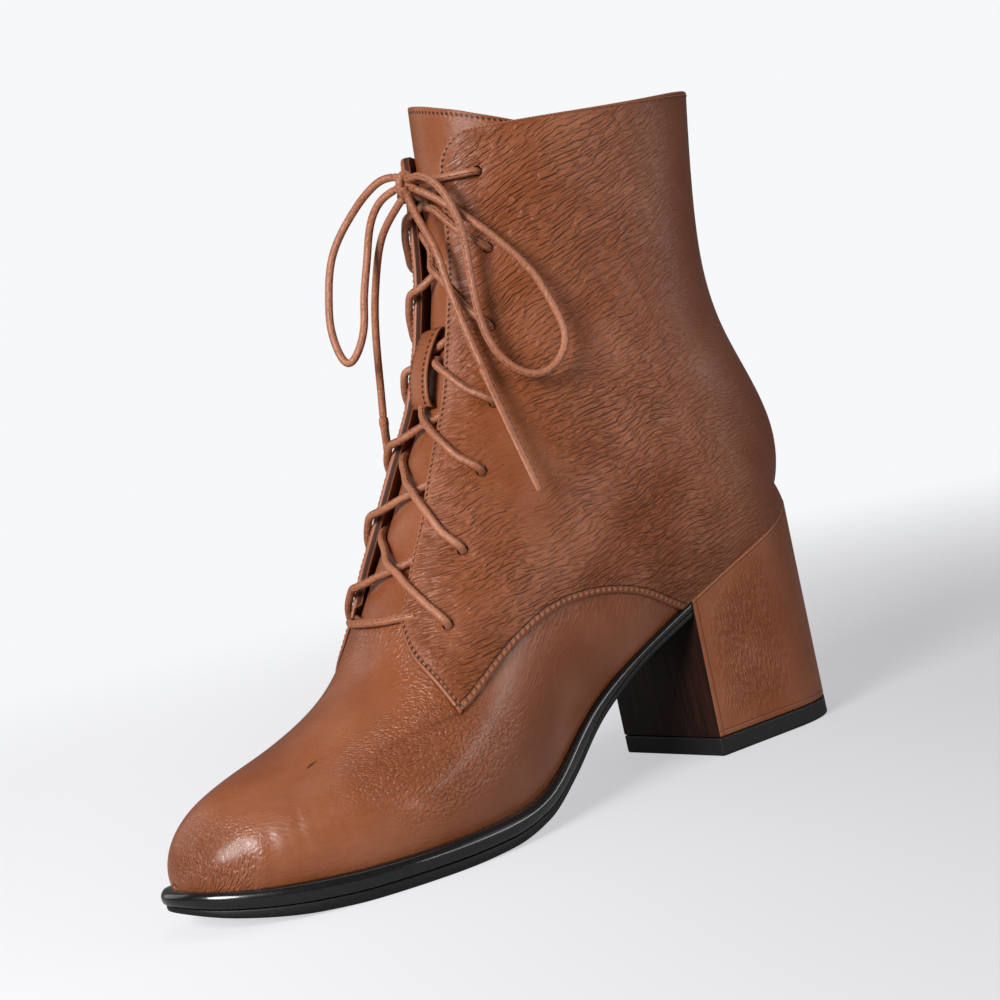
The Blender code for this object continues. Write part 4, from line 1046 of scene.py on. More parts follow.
def midsole(finishes):
    """Polished band around the foot."""
    return sole_layer("midsole_band", rounded_band(0.30, 1.0, 0.78, 0.55),
        lambda y: feather_z(y) - CLEARANCE, lambda y: split_z(y) + 0.6 * toe_lift(y) + CLEARANCE / 2,
        finishes)


def outsole(finishes):
    """Outsole under the band, with a softly rounded lower edge."""
    profile = [(0.60, 0.0), (0.70, 0.06), (0.73, 0.2), (0.73, 0.62), (0.71, 0.78), (0.66, 0.9),
        (0.58, 0.97), (0.48, 1.0)]
    return sole_layer("outsole_layer", profile, lambda y: split_z(y) + 0.6 * toe_lift(y) - CLEARANCE / 2,
        lambda y: tread_z(y) + toe_lift(y), finishes)


# %% Heel outlines
def round_corners(line, radius):
    """Closed outline with its sharp corners at the breast rounded."""
    done = []
    count = len(line)
    for k in range(count):
        before, here, after = line[k - 1], line[k], line[(k + 1) % count]
        one, two = before - here, after - here
        a, b = np.linalg.norm(one[:2]), np.linalg.norm(two[:2])
        if np.dot(one[:2], two[:2]) / (a * b) > -0.5:
            for t in np.linspace(0, 1, 6):
                start, end = here + one / a * radius, here + two / b * radius
                done.append((1 - t) ** 2 * start + 2 * t * (1 - t) * here + t ** 2 * end)
        else:
            done.append(here)
    return np.array(done)


def heel_foot(z, inset, count):
    """D-shaped outline of the heel near the floor."""
    half = HEEL_FOOT_WIDTH / 2 - inset
    start, length = BREAST_Y + inset, HEEL_FOOT_LENGTH - 2 * inset
    turn = np.linspace(0, math.pi / 2, 200)
    x = np.concatenate([np.full(60, half), half * np.abs(np.cos(turn)) ** HEEL_FOOT_BULGE[0]])
    y_round = start + 0.55 * length
    y = np.concatenate([np.linspace(start, y_round, 61)[:-1], y_round + 0.45 * length
        * np.sin(turn) ** HEEL_FOOT_BULGE[1]])
    line = np.stack([x, y], -1)
    return np.column_stack([even_points(line, np.linspace(0, 1, count)), np.full(count, z)])


def heel_seat(side, drop, inset, count):
    """Outline of one side of the heel's top, under the feather line."""
    first = station_at(BACK_Y, BREAST_Y)
    stations = first + (0.765 - first) * np.sin(np.linspace(0, math.pi / 2, 120))
    spots = np.array([outline(s, HEEL_EDGE - inset, side) for s in stations])
    spots[0, 1] = BREAST_Y
    line = even_points(spots, np.linspace(0, 1, count))
    return np.column_stack([line, feather_z(line[:, 1]) - CLEARANCE - drop])


def close_halves(halves, radius):
    """Closed outline from its outer and inner halves, with the breast's corners rounded."""
    return round_corners(np.concatenate([halves[0], halves[1][-2:0:-1], halves[1][:1]]), radius)


def heel_ring(height_share, drop, inset, foot_z, count=70):
    """Closed outline of the heel at a share of the way from its seat to its foot."""
    halves = []
    for side in (1, -1):
        foot = heel_foot(foot_z, inset, count) * (side, 1, 1)
        seat = heel_seat(side, drop, inset, count)
        halves.append(seat + (foot - seat) * height_share)
    return close_halves(halves, 0.0008)


# %% Heel block and top lift
def heel(finishes):
    """Heel block in its leather cover, with a dark breast."""
    foot_z = LIFT_HEIGHT + CLEARANCE
    rings = [heel_ring(0.0, EDGE_ROUND * (1 - math.sin(a)), EDGE_ROUND * (1 - math.cos(a)), foot_z)
        for a in (1.5, 1.0, 0.5, 0.0)]
    rings += [heel_ring(share, EDGE_ROUND, 0.0, foot_z + EDGE_ROUND) for share in np.linspace(0, 1, 42)[1:]]
    rings += [heel_ring(1.0, EDGE_ROUND, EDGE_ROUND * (1 - math.cos(a)) * 0.6,
        foot_z + EDGE_ROUND * (1 - math.sin(a))) for a in (0.6, 1.1, 1.5)]
    rings = np.array(rings)
    arc = walk(rings, 1)
    drop = walk(rings, 0)
    from_front = np.minimum(arc, arc[:, -1:] - arc)
    from_low = drop[-1:] - drop
    following = np.roll(rings, -1, axis=1)
    flat = np.maximum(rings[:-1, :, 1], following[:-1, :, 1]).reshape(-1) < BREAST_Y + 0.0005
    breast = np.concatenate([flat.astype(int), [1, 1]])
    maps = {"hide": np.stack([arc, rings[..., 2]], -1), "edge": np.stack([from_front, from_low], -1),
        "seat": np.stack([drop, arc], -1)}
    return loft("heel_cover", rings, finishes, maps, breast)


def top_lift(finishes):
    """Black lift under the heel, resting on the floor."""
    def ring(z, inset):
        return close_halves([heel_foot(z, inset, 70) * (side, 1, 1) for side in (1, -1)], 0.0009)
    rings = [ring(LIFT_HEIGHT, 0.0002), ring(LIFT_HEIGHT - 0.0002, 0.0)]
    rings += [ring(z, 0.0) for z in np.linspace(LIFT_HEIGHT - 0.0008, EDGE_ROUND, 6)]
    rings += [ring(EDGE_ROUND * (1 - math.sin(a)), EDGE_ROUND * (1 - math.cos(a))) for a in (0.5, 1.0, 1.5)]
    rings = np.array(rings)
    return loft("heel_lift", rings, finishes, {"hide": np.stack([walk(rings, 1), rings[..., 2]], -1)})


# %% Insole
def insole(finishes):
    """Thin sock inside, on the sole and over the heel seat."""
    stations = 0.757 * (1 - np.cos(np.linspace(0.2, np.pi / 2, 90)))
    rings = []
    for station in stations:
        spots = [outline(station, -INSOLE_INSET, side) for side in (1, -1)]
        over = [np.array(spots[0]) + (np.array(spots[1]) - spots[0]) * t for t in np.linspace(0, 1, 9)]
        ring = [(x, y, float(feather_z(y)) + INSOLE_THICKNESS) for x, y in over]
        ring += [(x, y, float(feather_z(y)) + CLEARANCE * 0.2) for x, y in over[::-1]]
        rings.append(ring)
    return loft("insole_sock", rings, finishes)

# %% [markdown]
# ## Lacing
#
# The lace crosses from hole to hole. Each stretch comes up out of its hole, lies over the facing's
# edge, dips onto the tongue and goes under the opposite facing to the next hole. A tube with maps
# along and around it lets the lace's own seam and creases follow it.

# %% Tube along a route
LACE_RADIUS = LACE_DIAMETER / 2


def smooth_route(points, step):
    """Evenly spaced points on a smooth curve through a route."""
    points = np.asarray(points, float)
    steps = np.concatenate([[0], np.cumsum(np.linalg.norm(np.diff(points, axis=0), axis=1))])
    fine = smooth(steps, points, np.linspace(0, steps[-1], 600))
    at, length = by_length(fine, np.linspace(0, 1, max(6, int(steps[-1] / step))))
    return np.stack([np.interp(at, np.arange(600), fine[:, k]) for k in range(3)], -1), length


def tube_rings(line, radius, sides):
    """Rings around a line, turned as little as possible from one to the next."""
    tangent = np.gradient(line, axis=0)
    tangent /= np.linalg.norm(tangent, axis=1, keepdims=True)
    up = np.cross(tangent[0], (0.3, -0.8, 0.5))
    up /= np.linalg.norm(up)
    rings = []
    turn = np.linspace(0, 2 * math.pi, sides, endpoint=False)
    for k, (spot, ahead) in enumerate(zip(line, tangent)):
        up = up - ahead * np.dot(up, ahead)
        up /= np.linalg.norm(up)
        side = np.cross(ahead, up)
        size = radius[k] if np.ndim(radius) else radius
        rings.append(spot + size * (np.cos(turn)[:, None] * up + np.sin(turn)[:, None] * side))
    return np.array(rings)


def lace_tube(name, points, finishes, step=0.0007, sides=16, ends=0.9):
    """Lace along a route, closed and slightly rounded at both ends."""
    line, length = smooth_route(points, step)
    radius = np.full(len(line), LACE_RADIUS)
    radius[[0, -1]] *= 1 - 0.35 * ends
    rings = tube_rings(line, radius, sides)
    rings = np.concatenate([rings, rings[:, :1]], axis=1)
    arc = np.broadcast_to(np.linspace(0, length, len(line))[:, None], rings.shape[:2])
    turn = np.broadcast_to(np.linspace(0, 1, sides + 1)[None], rings.shape[:2])
    return tube_piece(name, rings, np.stack([arc, turn], -1), finishes), line, length


def tube_piece(name, rings, maps, finishes):
    """Tube from rings whose last point repeats the first, so that its map has a seam."""
    count, size = rings.shape[:2]
    wrapped = np.arange(count * (size - 1)).reshape(count, size - 1)
    faces = quads(np.concatenate([wrapped, wrapped[:, :1]], axis=1)).tolist()
    faces += [wrapped[0].tolist(), wrapped[-1].tolist()]
    mesh = bpy.data.meshes.new(name)
    mesh.from_pydata((rings[:, :-1].reshape(-1, 3) + SHIFT).tolist(), [], faces)
    layer = mesh.uv_layers.new(name="hide")
    index = quads(np.arange(count * size).reshape(count, size)).ravel()
    corners = maps.reshape(-1, 2)[index]
    caps = np.concatenate([maps[0, :-1], maps[-1, :-1]])
    layer.data.foreach_set("uv", np.concatenate([corners, caps]).astype(np.float32).ravel())
    work = bmesh.new()
    work.from_mesh(mesh)
    bmesh.ops.recalc_face_normals(work, faces=work.faces[:])
    work.to_mesh(mesh)
    work.free()
    mesh.shade_smooth()
    for finish in finishes:
        mesh.materials.append(finish)
    thing = bpy.data.objects.new(name, mesh)
    bpy.context.collection.objects.link(thing)
    return thing


# %% Lace between the holes
def hole_place(index, side):
    """Centre of a lace hole on the facing's surface, with its outward direction."""
    z = throat_height(HOLE_HEIGHTS[index])
    spot, out = front_points([side * (throat_half(z) + HOLE_INSET)], [z], QUARTER_STEP, True)
    return spot[0], out[0]


# Share of the way up to the next hole at points of a stretch, on the outer and the inner side
NEAR_CLIMB = (0.25, 0.45, 0.66, 0.73, 0.86, 0.95, 1.08, 1.20, 1.30, 1.36, 1.40)
FAR_CLIMB = (0.20, 0.36, 0.54, 0.60, 0.66, 0.70, 0.76, 0.82, 0.89, 0.93, 0.96)


def strand_route(low, high, side):
    """Route of one stretch of lace, from its lower hole to the underside of the higher one."""
    z_low, z_high = throat_height(HOLE_HEIGHTS[low]), throat_height(HOLE_HEIGHTS[high]) + LACE_CLIMB
    start = throat_half(z_low) + HOLE_INSET - LACE_START
    end = -(throat_half(z_high) - LACE_RADIUS - LACE_STOP)
    last = throat_half(z_low + 0.35 * (z_high - z_low)) - LACE_OVERHANG
    foot = last - LACE_DROP
    xs = np.array((start - 0.002, 0.5 * (start + last), last + 0.0015, last, foot, 0.5 * foot, 0.0,
        0.5 * end, end, end - 0.004, end - 0.008))
    climb = NEAR_CLIMB if side > 0 and low not in (3, 5) else FAR_CLIMB
    zs = z_low + np.array(climb) * (z_high - z_low)
    lifted = xs >= last
    over = QUARTER_STEP + LACE_RADIUS + LACE_SPARE * 0.5
    under = TONGUE_OUTER + LACE_RADIUS + LACE_SPARE
    offsets = np.where(lifted, over, under)
    offsets[4:7] += (over + FACING_LIFT - under) * np.array((0.62, 0.36, 0.12)) * (low != 3)
    spots, _ = front_points(side * xs, zs, offsets, lifted)
    spots[3] += (spots[4] - spots[2]) * 0.04
    hole, out = hole_place(low, side)
    ahead = spots[0] - hole
    ahead -= out * np.dot(ahead, out)
    ahead /= np.linalg.norm(ahead)
    enter = [hole - out * 0.0022 - ahead * 0.0003, hole - out * 0.0004 - ahead * 0.0002,
        hole + out * 0.0011 + ahead * 0.0007]
    return np.concatenate([enter, spots])


def bar_routes():
    """Routes of the bottom bar and of the two stretches from the top holes to the knot."""
    low = throat_height(-0.010)
    reach = throat_half(low) + 0.004
    xs = reach * np.array((-1.0, -0.7, -0.35, 0.0, 0.35, 0.7, 1.0))
    depth = LACE_RADIUS + LACE_SPARE * np.array((-2.0, -0.5, 1.0, 1.0, 1.0, -0.5, -2.0))
    bottom, _ = front_points(xs, np.full(7, low), depth, False)
    routes = {"lace_bottom_bar": bottom}
    z = throat_height(HOLE_HEIGHTS[-1])
    start, edge = throat_half(z) + HOLE_INSET - LACE_START, throat_half(z)
    over = QUARTER_STEP + LACE_RADIUS + LACE_SPARE * 0.5
    for side, name in ((1, "lace_top_outer"), (-1, "lace_top_inner")):
        xs = np.array((start - 0.002, 0.5 * (start + edge), edge))
        heights = z + (1 - xs / start) * (KNOT_PLACE[2] - z)
        spots, _ = front_points(side * xs, heights, over, True)
        hole, out = hole_place(len(HOLE_HEIGHTS) - 1, side)
        ahead = spots[0] - hole
        ahead -= out * np.dot(ahead, out)
        ahead /= np.linalg.norm(ahead)
        enter = [hole - out * 0.0022, hole - out * 0.0004, hole + out * 0.0011 + ahead * 0.0007]
        stop = np.array(KNOT_PLACE) + (side * 0.001, -0.0006, 0.0006)
        routes[name] = np.concatenate([enter, spots, [0.5 * (spots[-1] + stop) + (0, -0.0003, 0), stop]])
    return routes

# %% [markdown]
# ## Bow
#
# The knot, two loops and two ends hang free. Their routes are the same points as the imported model was built
# with, so each piece of lace lies where its plain solid is, and each keeps its real length.

# %% Bow
def free_lace(name, points, node, finishes):
    """Free stretch of lace in place of its plain solid."""
    thing, line, length = lace_tube(name, points, finishes)
    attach(thing, "root")
    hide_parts(node)
    print(name, "mm:", round(length * 1000, 1))
    return thing


def lace_tip(name, start, end, finishes):
    """Flattened leather tip with a folded collar at its start."""
    start, end = np.asarray(start, float), np.asarray(end, float)
    ahead = (end - start) / np.linalg.norm(end - start)
    start = start - ahead * 0.0004
    wide = np.cross(ahead, (1.0, 0.0, 0.0))
    wide /= np.linalg.norm(wide)
    thick = np.cross(wide, ahead)
    rows = ((0.0, 0.80, 0.85), (0.012, 1.02, 1.0), (0.05, 1.08, 1.0), (0.075, 1.0, 0.80), (0.12, 0.96, 0.66),
            (0.5, 1.0, 0.58), (0.90, 0.95, 0.52), (0.975, 0.86, 0.46), (0.995, 0.70, 0.36), (1.0, 0.5, 0.22))
    shares = np.concatenate([np.linspace(0, 0.14, 16), np.linspace(0.16, 0.95, 40), np.linspace(0.96, 1, 10)])
    turn = np.linspace(0, 2 * math.pi, 21)
    rings = []
    for share in shares:
        width, depth = steady(rows, 1, share), steady(rows, 2, share)
        spot = start + ahead * (TIP_LENGTH + 0.0004) * share
        rings.append(spot + np.outer(np.cos(turn), wide) * width * TIP_WIDTH / 2
            + np.outer(np.sin(turn), thick) * depth * LACE_RADIUS)
    rings = np.array(rings)
    arc = np.broadcast_to(shares[:, None] * TIP_LENGTH, rings.shape[:2])
    around = np.broadcast_to(turn[None] / (2 * math.pi), rings.shape[:2])
    thing = tube_piece(name, rings, np.stack([arc, around], -1), finishes)
    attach(thing, "root")
    return thing


def knot(finishes):
    """Knot of the bow: a turn of lace pulled tight round the roots of the loops and ends."""
    centre = np.array(KNOT_PLACE) - (0.0002, 0.0003, 0.0006)
    _, b, c = np.array(KNOT_SIZE) - LACE_RADIUS
    share = np.linspace(0, 1, 70)
    turn = share * 2 * math.pi * 1.65 + 1.9
    wrap = centre + np.stack([(share - 0.5) * 0.0030 + 0.0004 * np.sin(turn), -b * 0.96 * np.cos(turn),
        c * 0.96 * np.sin(turn)], -1)
    roots = [(LOOP_MEDIAL[0], centre + (0.0002, 0.0, 0.0018), LOOP_LATERAL[0]),
        (LOOP_MEDIAL[-1], centre + (-0.0002, 0.0, -0.0006), LOOP_LATERAL[-1]),
        (END_LATERAL[0], centre + (0.0006, 0.0, -0.0020), centre + (0.0, 0.0002, 0.0010)),
        (END_MEDIAL[0], centre + (-0.0010, 0.0004, -0.0022), centre + (-0.0004, 0.0006, 0.0006))]
    rings, arcs = [], []
    for line in [wrap] + [smooth_route(root, 0.0004)[0] for root in roots]:
        made = tube_rings(line, np.full(len(line), LACE_RADIUS), 16)
        rings.append(np.concatenate([made, made[:, :1]], axis=1))
        arcs.append(walk(line[:, None], 0)[:, 0])
    tubes = []
    for made, arc in zip(rings, arcs):
        around = np.broadcast_to(np.linspace(0, 1, 17)[None], made.shape[:2])
        maps = np.stack([np.broadcast_to(arc[:, None], made.shape[:2]), around], -1)
        tubes.append(tube_piece("knot_wrap", made, maps, finishes))
    whole = bmesh.new()
    for tube in tubes:
        whole.from_mesh(tube.data)
    whole.to_mesh(tubes[0].data)
    whole.free()
    for tube in tubes[1:]:
        bpy.data.objects.remove(tube)
    thing = tubes[0]
    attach(thing, "root")
    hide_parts("bow_knot")
    return thing

# %% [markdown]
# ## Leather and other finishes
#
# Leather is never one colour. Each finish mixes a base tone with cloudy variation, darkens its cut edges and
# folds, and raises grain, wrinkles and pores as bumps at their real size in metres. Some finishes also paint
# shade on the parts turned from the lights and a highlight on rolled edges. What several finishes share is
# built once, as node groups with named inputs.

# %% Node tools
def join(tree, source, target):
    """Link two sockets."""
    tree.links.new(source, target)


def node(tree, kind, **values):
    """New node with some of its settings and inputs filled in."""
    made = tree.nodes.new(kind)
    for key, value in values.items():
        label = key.replace("_", " ")
        if hasattr(made, key):
            setattr(made, key, value)
        else:
            made.inputs[label].default_value = value
    return made


def fill(tree, slot, value):
    """Join a socket to a slot, or write a number, a triple or a colour into it."""
    if isinstance(value, bpy.types.NodeSocket):
        tree.links.new(value, slot)
    elif isinstance(value, tuple) and slot.type == "RGBA":
        slot.default_value = (*value, 1.0)
    elif slot.type == "VECTOR" and not isinstance(value, tuple):
        slot.default_value = (value,) * 3
    elif value is not None:
        slot.default_value = value


def maths(tree, kind, one, two=None, three=None, clamp=False):
    """Math node whose inputs are sockets or numbers. Returns its output."""
    made = tree.nodes.new("ShaderNodeMath")
    made.operation = kind
    made.use_clamp = clamp
    for slot, value in zip(made.inputs, (one, two, three)):
        fill(tree, slot, value)
    return made.outputs[0]


def ramp(tree, value, low, high, from_value=0.0, to_value=1.0):
    """Value remapped from a range to another, with soft ends."""
    made = node(tree, "ShaderNodeMapRange", interpolation_type="SMOOTHSTEP", From_Min=low, From_Max=high,
                To_Min=from_value, To_Max=to_value)
    join(tree, value, made.inputs["Value"])
    return made.outputs["Result"]


def mix_colour(tree, share, one, two, blend="MIX"):
    """Two colours mixed by a share. Each may be a socket or three numbers."""
    made = tree.nodes.new("ShaderNodeMix")
    made.data_type = "RGBA"
    made.blend_type = blend
    for slot, value in ((made.inputs[0], share), (made.inputs[6], one), (made.inputs[7], two)):
        fill(tree, slot, value)
    return made.outputs[2]


def open_group(name, inputs, outputs):
    """Empty shader node group with named sockets: (name, type, default value)."""
    group = bpy.data.node_groups.new(name, "ShaderNodeTree")
    for label, kind, default in inputs:
        socket = group.interface.new_socket(label, in_out="INPUT", socket_type="NodeSocket" + kind)
        if default is not None:
            socket.default_value = default
    for label, kind in outputs:
        group.interface.new_socket(label, in_out="OUTPUT", socket_type="NodeSocket" + kind)
    return group, group.nodes.new("NodeGroupInput"), group.nodes.new("NodeGroupOutput")


def use_group(tree, group, **values):
    """Place a group in a tree. Sockets are joined and numbers are filled in."""
    made = tree.nodes.new("ShaderNodeGroup")
    made.node_tree = group
    for key, value in values.items():
        fill(tree, made.inputs[key.replace("_", " ")], value)
    return made


def start_material(name, roughness, coat=0.0, coat_roughness=0.2, specular=0.5):
    """Material with its shader, and constants on the shader's own sockets."""
    made = bpy.data.materials.new(name)
    made.use_nodes = True
    tree = made.node_tree
    shader = tree.nodes["Principled BSDF"]
    shader.inputs["Roughness"].default_value = roughness
    shader.inputs["Coat Weight"].default_value = coat
    shader.inputs["Coat Roughness"].default_value = coat_roughness
    shader.inputs["Specular IOR Level"].default_value = specular
    return made, tree, shader


def vector_maths(tree, kind, one, two):
    """Vector Math node whose inputs are sockets, triples or single numbers. Returns its output."""
    made = tree.nodes.new("ShaderNodeVectorMath")
    made.operation = kind
    for slot, value in zip(made.inputs, (one, two)):
        fill(tree, slot, value)
    return made.outputs["Value" if kind in ("LENGTH", "DOT_PRODUCT") else "Vector"]


def noise(tree, vector, scale, detail=2.0, flat=False, output=0):
    """Noise of a scale per metre."""
    made = node(tree, "ShaderNodeTexNoise", noise_dimensions="2D" if flat else "3D", Scale=scale,
        Detail=detail)
    join(tree, vector, made.inputs["Vector"])
    return made.outputs[output]


def apart(tree, vector):
    """First two parts of a vector."""
    made = node(tree, "ShaderNodeSeparateXYZ")
    join(tree, vector, made.inputs[0])
    return made.outputs[0], made.outputs[1]


def together(tree, x, y, z=0.0):
    """Vector from sockets or numbers."""
    made = node(tree, "ShaderNodeCombineXYZ")
    for slot, value in zip(made.inputs, (x, y, z)):
        fill(tree, slot, value)
    return made.outputs[0]


def read_map(tree, name):
    """One of the piece's maps, in metres."""
    return node(tree, "ShaderNodeUVMap", uv_map=name).outputs[0]


def position(tree):
    """Place on the object, in metres."""
    return node(tree, "ShaderNodeTexCoord").outputs["Object"]


def spot(tree, place, centre, size, soft=0.5):
    """Mask that is 1 in an egg-shaped region of half sizes, with a ragged soft edge. Millimetres."""
    centre = tuple(c / 1000 + s for c, s in zip(centre, SHIFT))
    away = vector_maths(tree, "SUBTRACT", place, centre)
    away = vector_maths(tree, "DIVIDE", away, tuple(s / 1000 for s in size))
    length = vector_maths(tree, "LENGTH", away, 0.0)
    ragged = maths(tree, "MULTIPLY_ADD", noise(tree, place, 160.0), 0.5, length)
    return ramp(tree, ragged, 1.25 - soft, 1.25 + soft, 1.0, 0.0)


# %% Grain groups
def wrinkle_group():
    """Wavy ridges that run one way, as in a hide stretched over a last. Height is 0 to 1."""
    group, start, end = open_group("wrinkles", [("Map", "Vector", None), ("Turn", "Float", 0.2),
        ("Across", "Float", 0.0013), ("Length", "Float", 0.006), ("Waviness", "Float", 0.8),
        ("Drift", "Float", 0.006)], [("Height", "Float")])
    said = start.outputs
    drift = vector_maths(group, "SUBTRACT", noise(group, said["Map"], 38.0, 1.0, True, 1), 0.5)
    drift = vector_maths(group, "MULTIPLY", drift, together(group, said["Drift"], said["Drift"]))
    moved = vector_maths(group, "ADD", said["Map"], drift)
    turned = node(group, "ShaderNodeVectorRotate", rotation_type="Z_AXIS")
    join(group, moved, turned.inputs["Vector"])
    join(group, said["Turn"], turned.inputs["Angle"])
    x, y = apart(group, turned.outputs[0])
    cells = together(group, maths(group, "DIVIDE", x, said["Length"]),
        maths(group, "DIVIDE", y, said["Across"]))
    wave = vector_maths(group, "SUBTRACT", noise(group, turned.outputs[0], 330.0, 1.0, True, 1), 0.5)
    wave = vector_maths(group, "MULTIPLY", wave, together(group, said["Waviness"], said["Waviness"]))
    grain = noise(group, vector_maths(group, "ADD", cells, wave), 1.0, 1.5, True)
    join(group, ramp(group, grain, 0.32, 0.74), end.inputs["Height"])
    return group


def pebble_group():
    """Rounded pebbles with narrow valleys. Height is 0 to 1."""
    group, start, end = open_group("pebbles", [("Map", "Vector", None), ("Size", "Float", 0.0016),
        ("Warp", "Float", 0.8)], [("Height", "Float")])
    said = start.outputs
    cells = vector_maths(group, "DIVIDE", said["Map"], together(group, said["Size"], said["Size"], 1.0))
    warp = vector_maths(group, "SUBTRACT", noise(group, said["Map"], 420.0, 2.0, True, 1), 0.5)
    warp = vector_maths(group, "MULTIPLY", warp, together(group, said["Warp"], said["Warp"]))
    cell = node(group, "ShaderNodeTexVoronoi", voronoi_dimensions="2D", feature="DISTANCE_TO_EDGE", Scale=1.0)
    join(group, vector_maths(group, "ADD", cells, warp), cell.inputs["Vector"])
    join(group, ramp(group, cell.outputs["Distance"], 0.0, 0.30), end.inputs["Height"])
    return group


def pore_group():
    """Scattered pores. Depth is 1 in a pore."""
    group, start, end = open_group("pores", [("Map", "Vector", None), ("Spacing", "Float", 0.0022),
        ("Share", "Float", 0.3)], [("Depth", "Float")])
    said = start.outputs
    cells = vector_maths(group, "DIVIDE", said["Map"], together(group, said["Spacing"], said["Spacing"], 1.0))
    cell = node(group, "ShaderNodeTexVoronoi", voronoi_dimensions="2D", feature="F1", Scale=1.0)
    join(group, cells, cell.inputs["Vector"])
    chance, _ = apart(group, cell.outputs["Color"])
    kept = maths(group, "LESS_THAN", chance, said["Share"])
    dot = ramp(group, cell.outputs["Distance"], 0.05, 0.15, 1.0, 0.0)
    join(group, maths(group, "MULTIPLY", dot, kept), end.inputs["Depth"])
    return group


def stitch_mark_group():
    """Needle holes along a line at a distance from an edge, and the leather pulled in round them."""
    group, start, end = open_group("stitch_marks", [("Map", "Vector", None), ("Line", "Float", 0.0017),
        ("Pitch", "Float", 0.0019), ("Hole", "Float", 0.00048)], [("Dark", "Float"), ("Pull", "Float")])
    said = start.outputs
    from_edge, arc = apart(group, said["Map"])
    off = maths(group, "SUBTRACT", from_edge, said["Line"])
    step = maths(group, "PINGPONG", arc, maths(group, "MULTIPLY", said["Pitch"], 0.5))
    away = vector_maths(group, "LENGTH", together(group, off, step), 0.0)
    share = maths(group, "DIVIDE", away, said["Hole"])
    join(group, ramp(group, share, 0.6, 1.3, 1.0, 0.0), end.inputs["Dark"])
    join(group, ramp(group, share, 0.4, 4.0, 1.0, 0.0), end.inputs["Pull"])
    return group


def tan_group():
    """Tanned leather's colour: clouds of tone, dark valleys, dark parts (painted shade on the quarters and
    heel), a painted highlight on rims and deep holes.
    """
    group, start, end = open_group("tan", [("Place", "Vector", None), ("Base", "Color", (*TAN, 1.0)),
        ("Light", "Color", (*TAN_LIGHT, 1.0)), ("Shade", "Color", (*TAN_DARK, 1.0)),
        ("Dark", "Float", 0.0), ("Grain", "Float", 1.0), ("Pale", "Float", 0.0), ("Deep", "Float", 0.0)],
        [("Colour", "Color")])
    said = start.outputs
    cloud = ramp(group, noise(group, said["Place"], 34.0, 3.0), 0.36, 0.70, 0.0, 0.55)
    fine = maths(group, "MULTIPLY_ADD", noise(group, said["Place"], 420.0, 3.0), 0.5, -0.25)
    colour = mix_colour(group, cloud, said["Base"], said["Light"])
    # The Dark share is the leather's darker tone, and painted shade where a finish passes it in
    mottled = maths(group, "ADD", said["Dark"], maths(group, "MULTIPLY", fine, 0.5), clamp=True)
    colour = mix_colour(group, mottled, colour, said["Shade"])
    valley = maths(group, "MULTIPLY_ADD", said["Grain"], -0.12, 0.12, clamp=True)
    colour = mix_colour(group, valley, colour, said["Shade"])
    # Painted highlight on rolled rims, lightening towards the light tone
    colour = mix_colour(group, said["Pale"], colour, said["Light"])
    colour = mix_colour(group, said["Deep"], colour, (0.018, 0.006, 0.003))
    join(group, colour, end.inputs["Colour"])
    return group


TAN, TAN_LIGHT, TAN_DARK = (0.232, 0.063, 0.019), (0.350, 0.128, 0.064), (0.100, 0.020, 0.003)
WRINKLES, PEBBLES, PORES = wrinkle_group(), pebble_group(), pore_group()
STITCH_MARKS, TANNED = stitch_mark_group(), tan_group()
print("shared groups:", len(bpy.data.node_groups))


# %% Putting a finish together
def raise_surface(tree, shader, heights):
    """One bump from several heights, each a socket and its size in millimetres."""
    total = 0.0
    for height, size in heights:
        total = maths(tree, "MULTIPLY_ADD", height, size, total)
    bump = node(tree, "ShaderNodeBump", Strength=1.0, Distance=0.001)
    join(tree, total, bump.inputs["Height"])
    join(tree, bump.outputs[0], shader.inputs["Normal"])


def times(tree, *factors):
    """Product of sockets and numbers."""
    result = factors[0]
    for factor in factors[1:]:
        result = maths(tree, "MULTIPLY", result, factor)
    return result


def greatest(tree, *values):
    """Largest of several sockets or numbers."""
    result = values[0]
    for value in values[1:]:
        result = maths(tree, "MAXIMUM", result, value)
    return result


def only_where(tree, grain, mask):
    """Grain inside a mask and 1 outside it."""
    return maths(tree, "MULTIPLY_ADD", maths(tree, "SUBTRACT", grain, 1.0), mask, 1.0, clamp=True)


def wrinkled(tree, hide, turn, across, length, **more):
    """Height of wrinkles on a hide: their turn, and their size across and along, in metres."""
    return use_group(tree, WRINKLES, Map=hide, Turn=turn, Across=across, Length=length, **more).outputs[0]


def puckers(tree, arc, along, away, across):
    """Small folds that run away from a sewn edge, by their scales along it and across it."""
    return noise(tree, together(tree, times(tree, arc, along), times(tree, away, across)), 1.0, 2.0, True)


def fine_grain(tree, hide):
    """The finest grain, which only breaks up the gloss."""
    return noise(tree, hide, FINE_GRAIN, 2.0, True)


def put_on(tree, shader, colour, heights, place, middle, spread_by=0.10, scale=240.0):
    """Give a shader its colour, its relief and a roughness that wanders around a middle value."""
    join(tree, colour, shader.inputs["Base Color"])
    raise_surface(tree, shader, heights)
    cloud = maths(tree, "MULTIPLY_ADD", noise(tree, place, scale, 3.0), spread_by * 2, middle - spread_by)
    join(tree, cloud, shader.inputs["Roughness"])


def mix_value(tree, share, one, two):
    """Two values mixed by a share."""
    return maths(tree, "MULTIPLY_ADD", share, maths(tree, "SUBTRACT", two, one), one)


def band(tree, value, centre, half_width):
    """Mask that is 1 on a line at a value and fades over a half width on both sides."""
    away = maths(tree, "ABSOLUTE", maths(tree, "SUBTRACT", value, centre))
    return ramp(tree, away, 0.0, half_width, 1.0, 0.0)


# %% Quarter leather
SEAM_LINE, SEAM_PITCH = 0.0026, 0.0023
STITCH_LINE, STITCH_PITCH = 0.0017, 0.0019
FINE_GRAIN = 2600.0


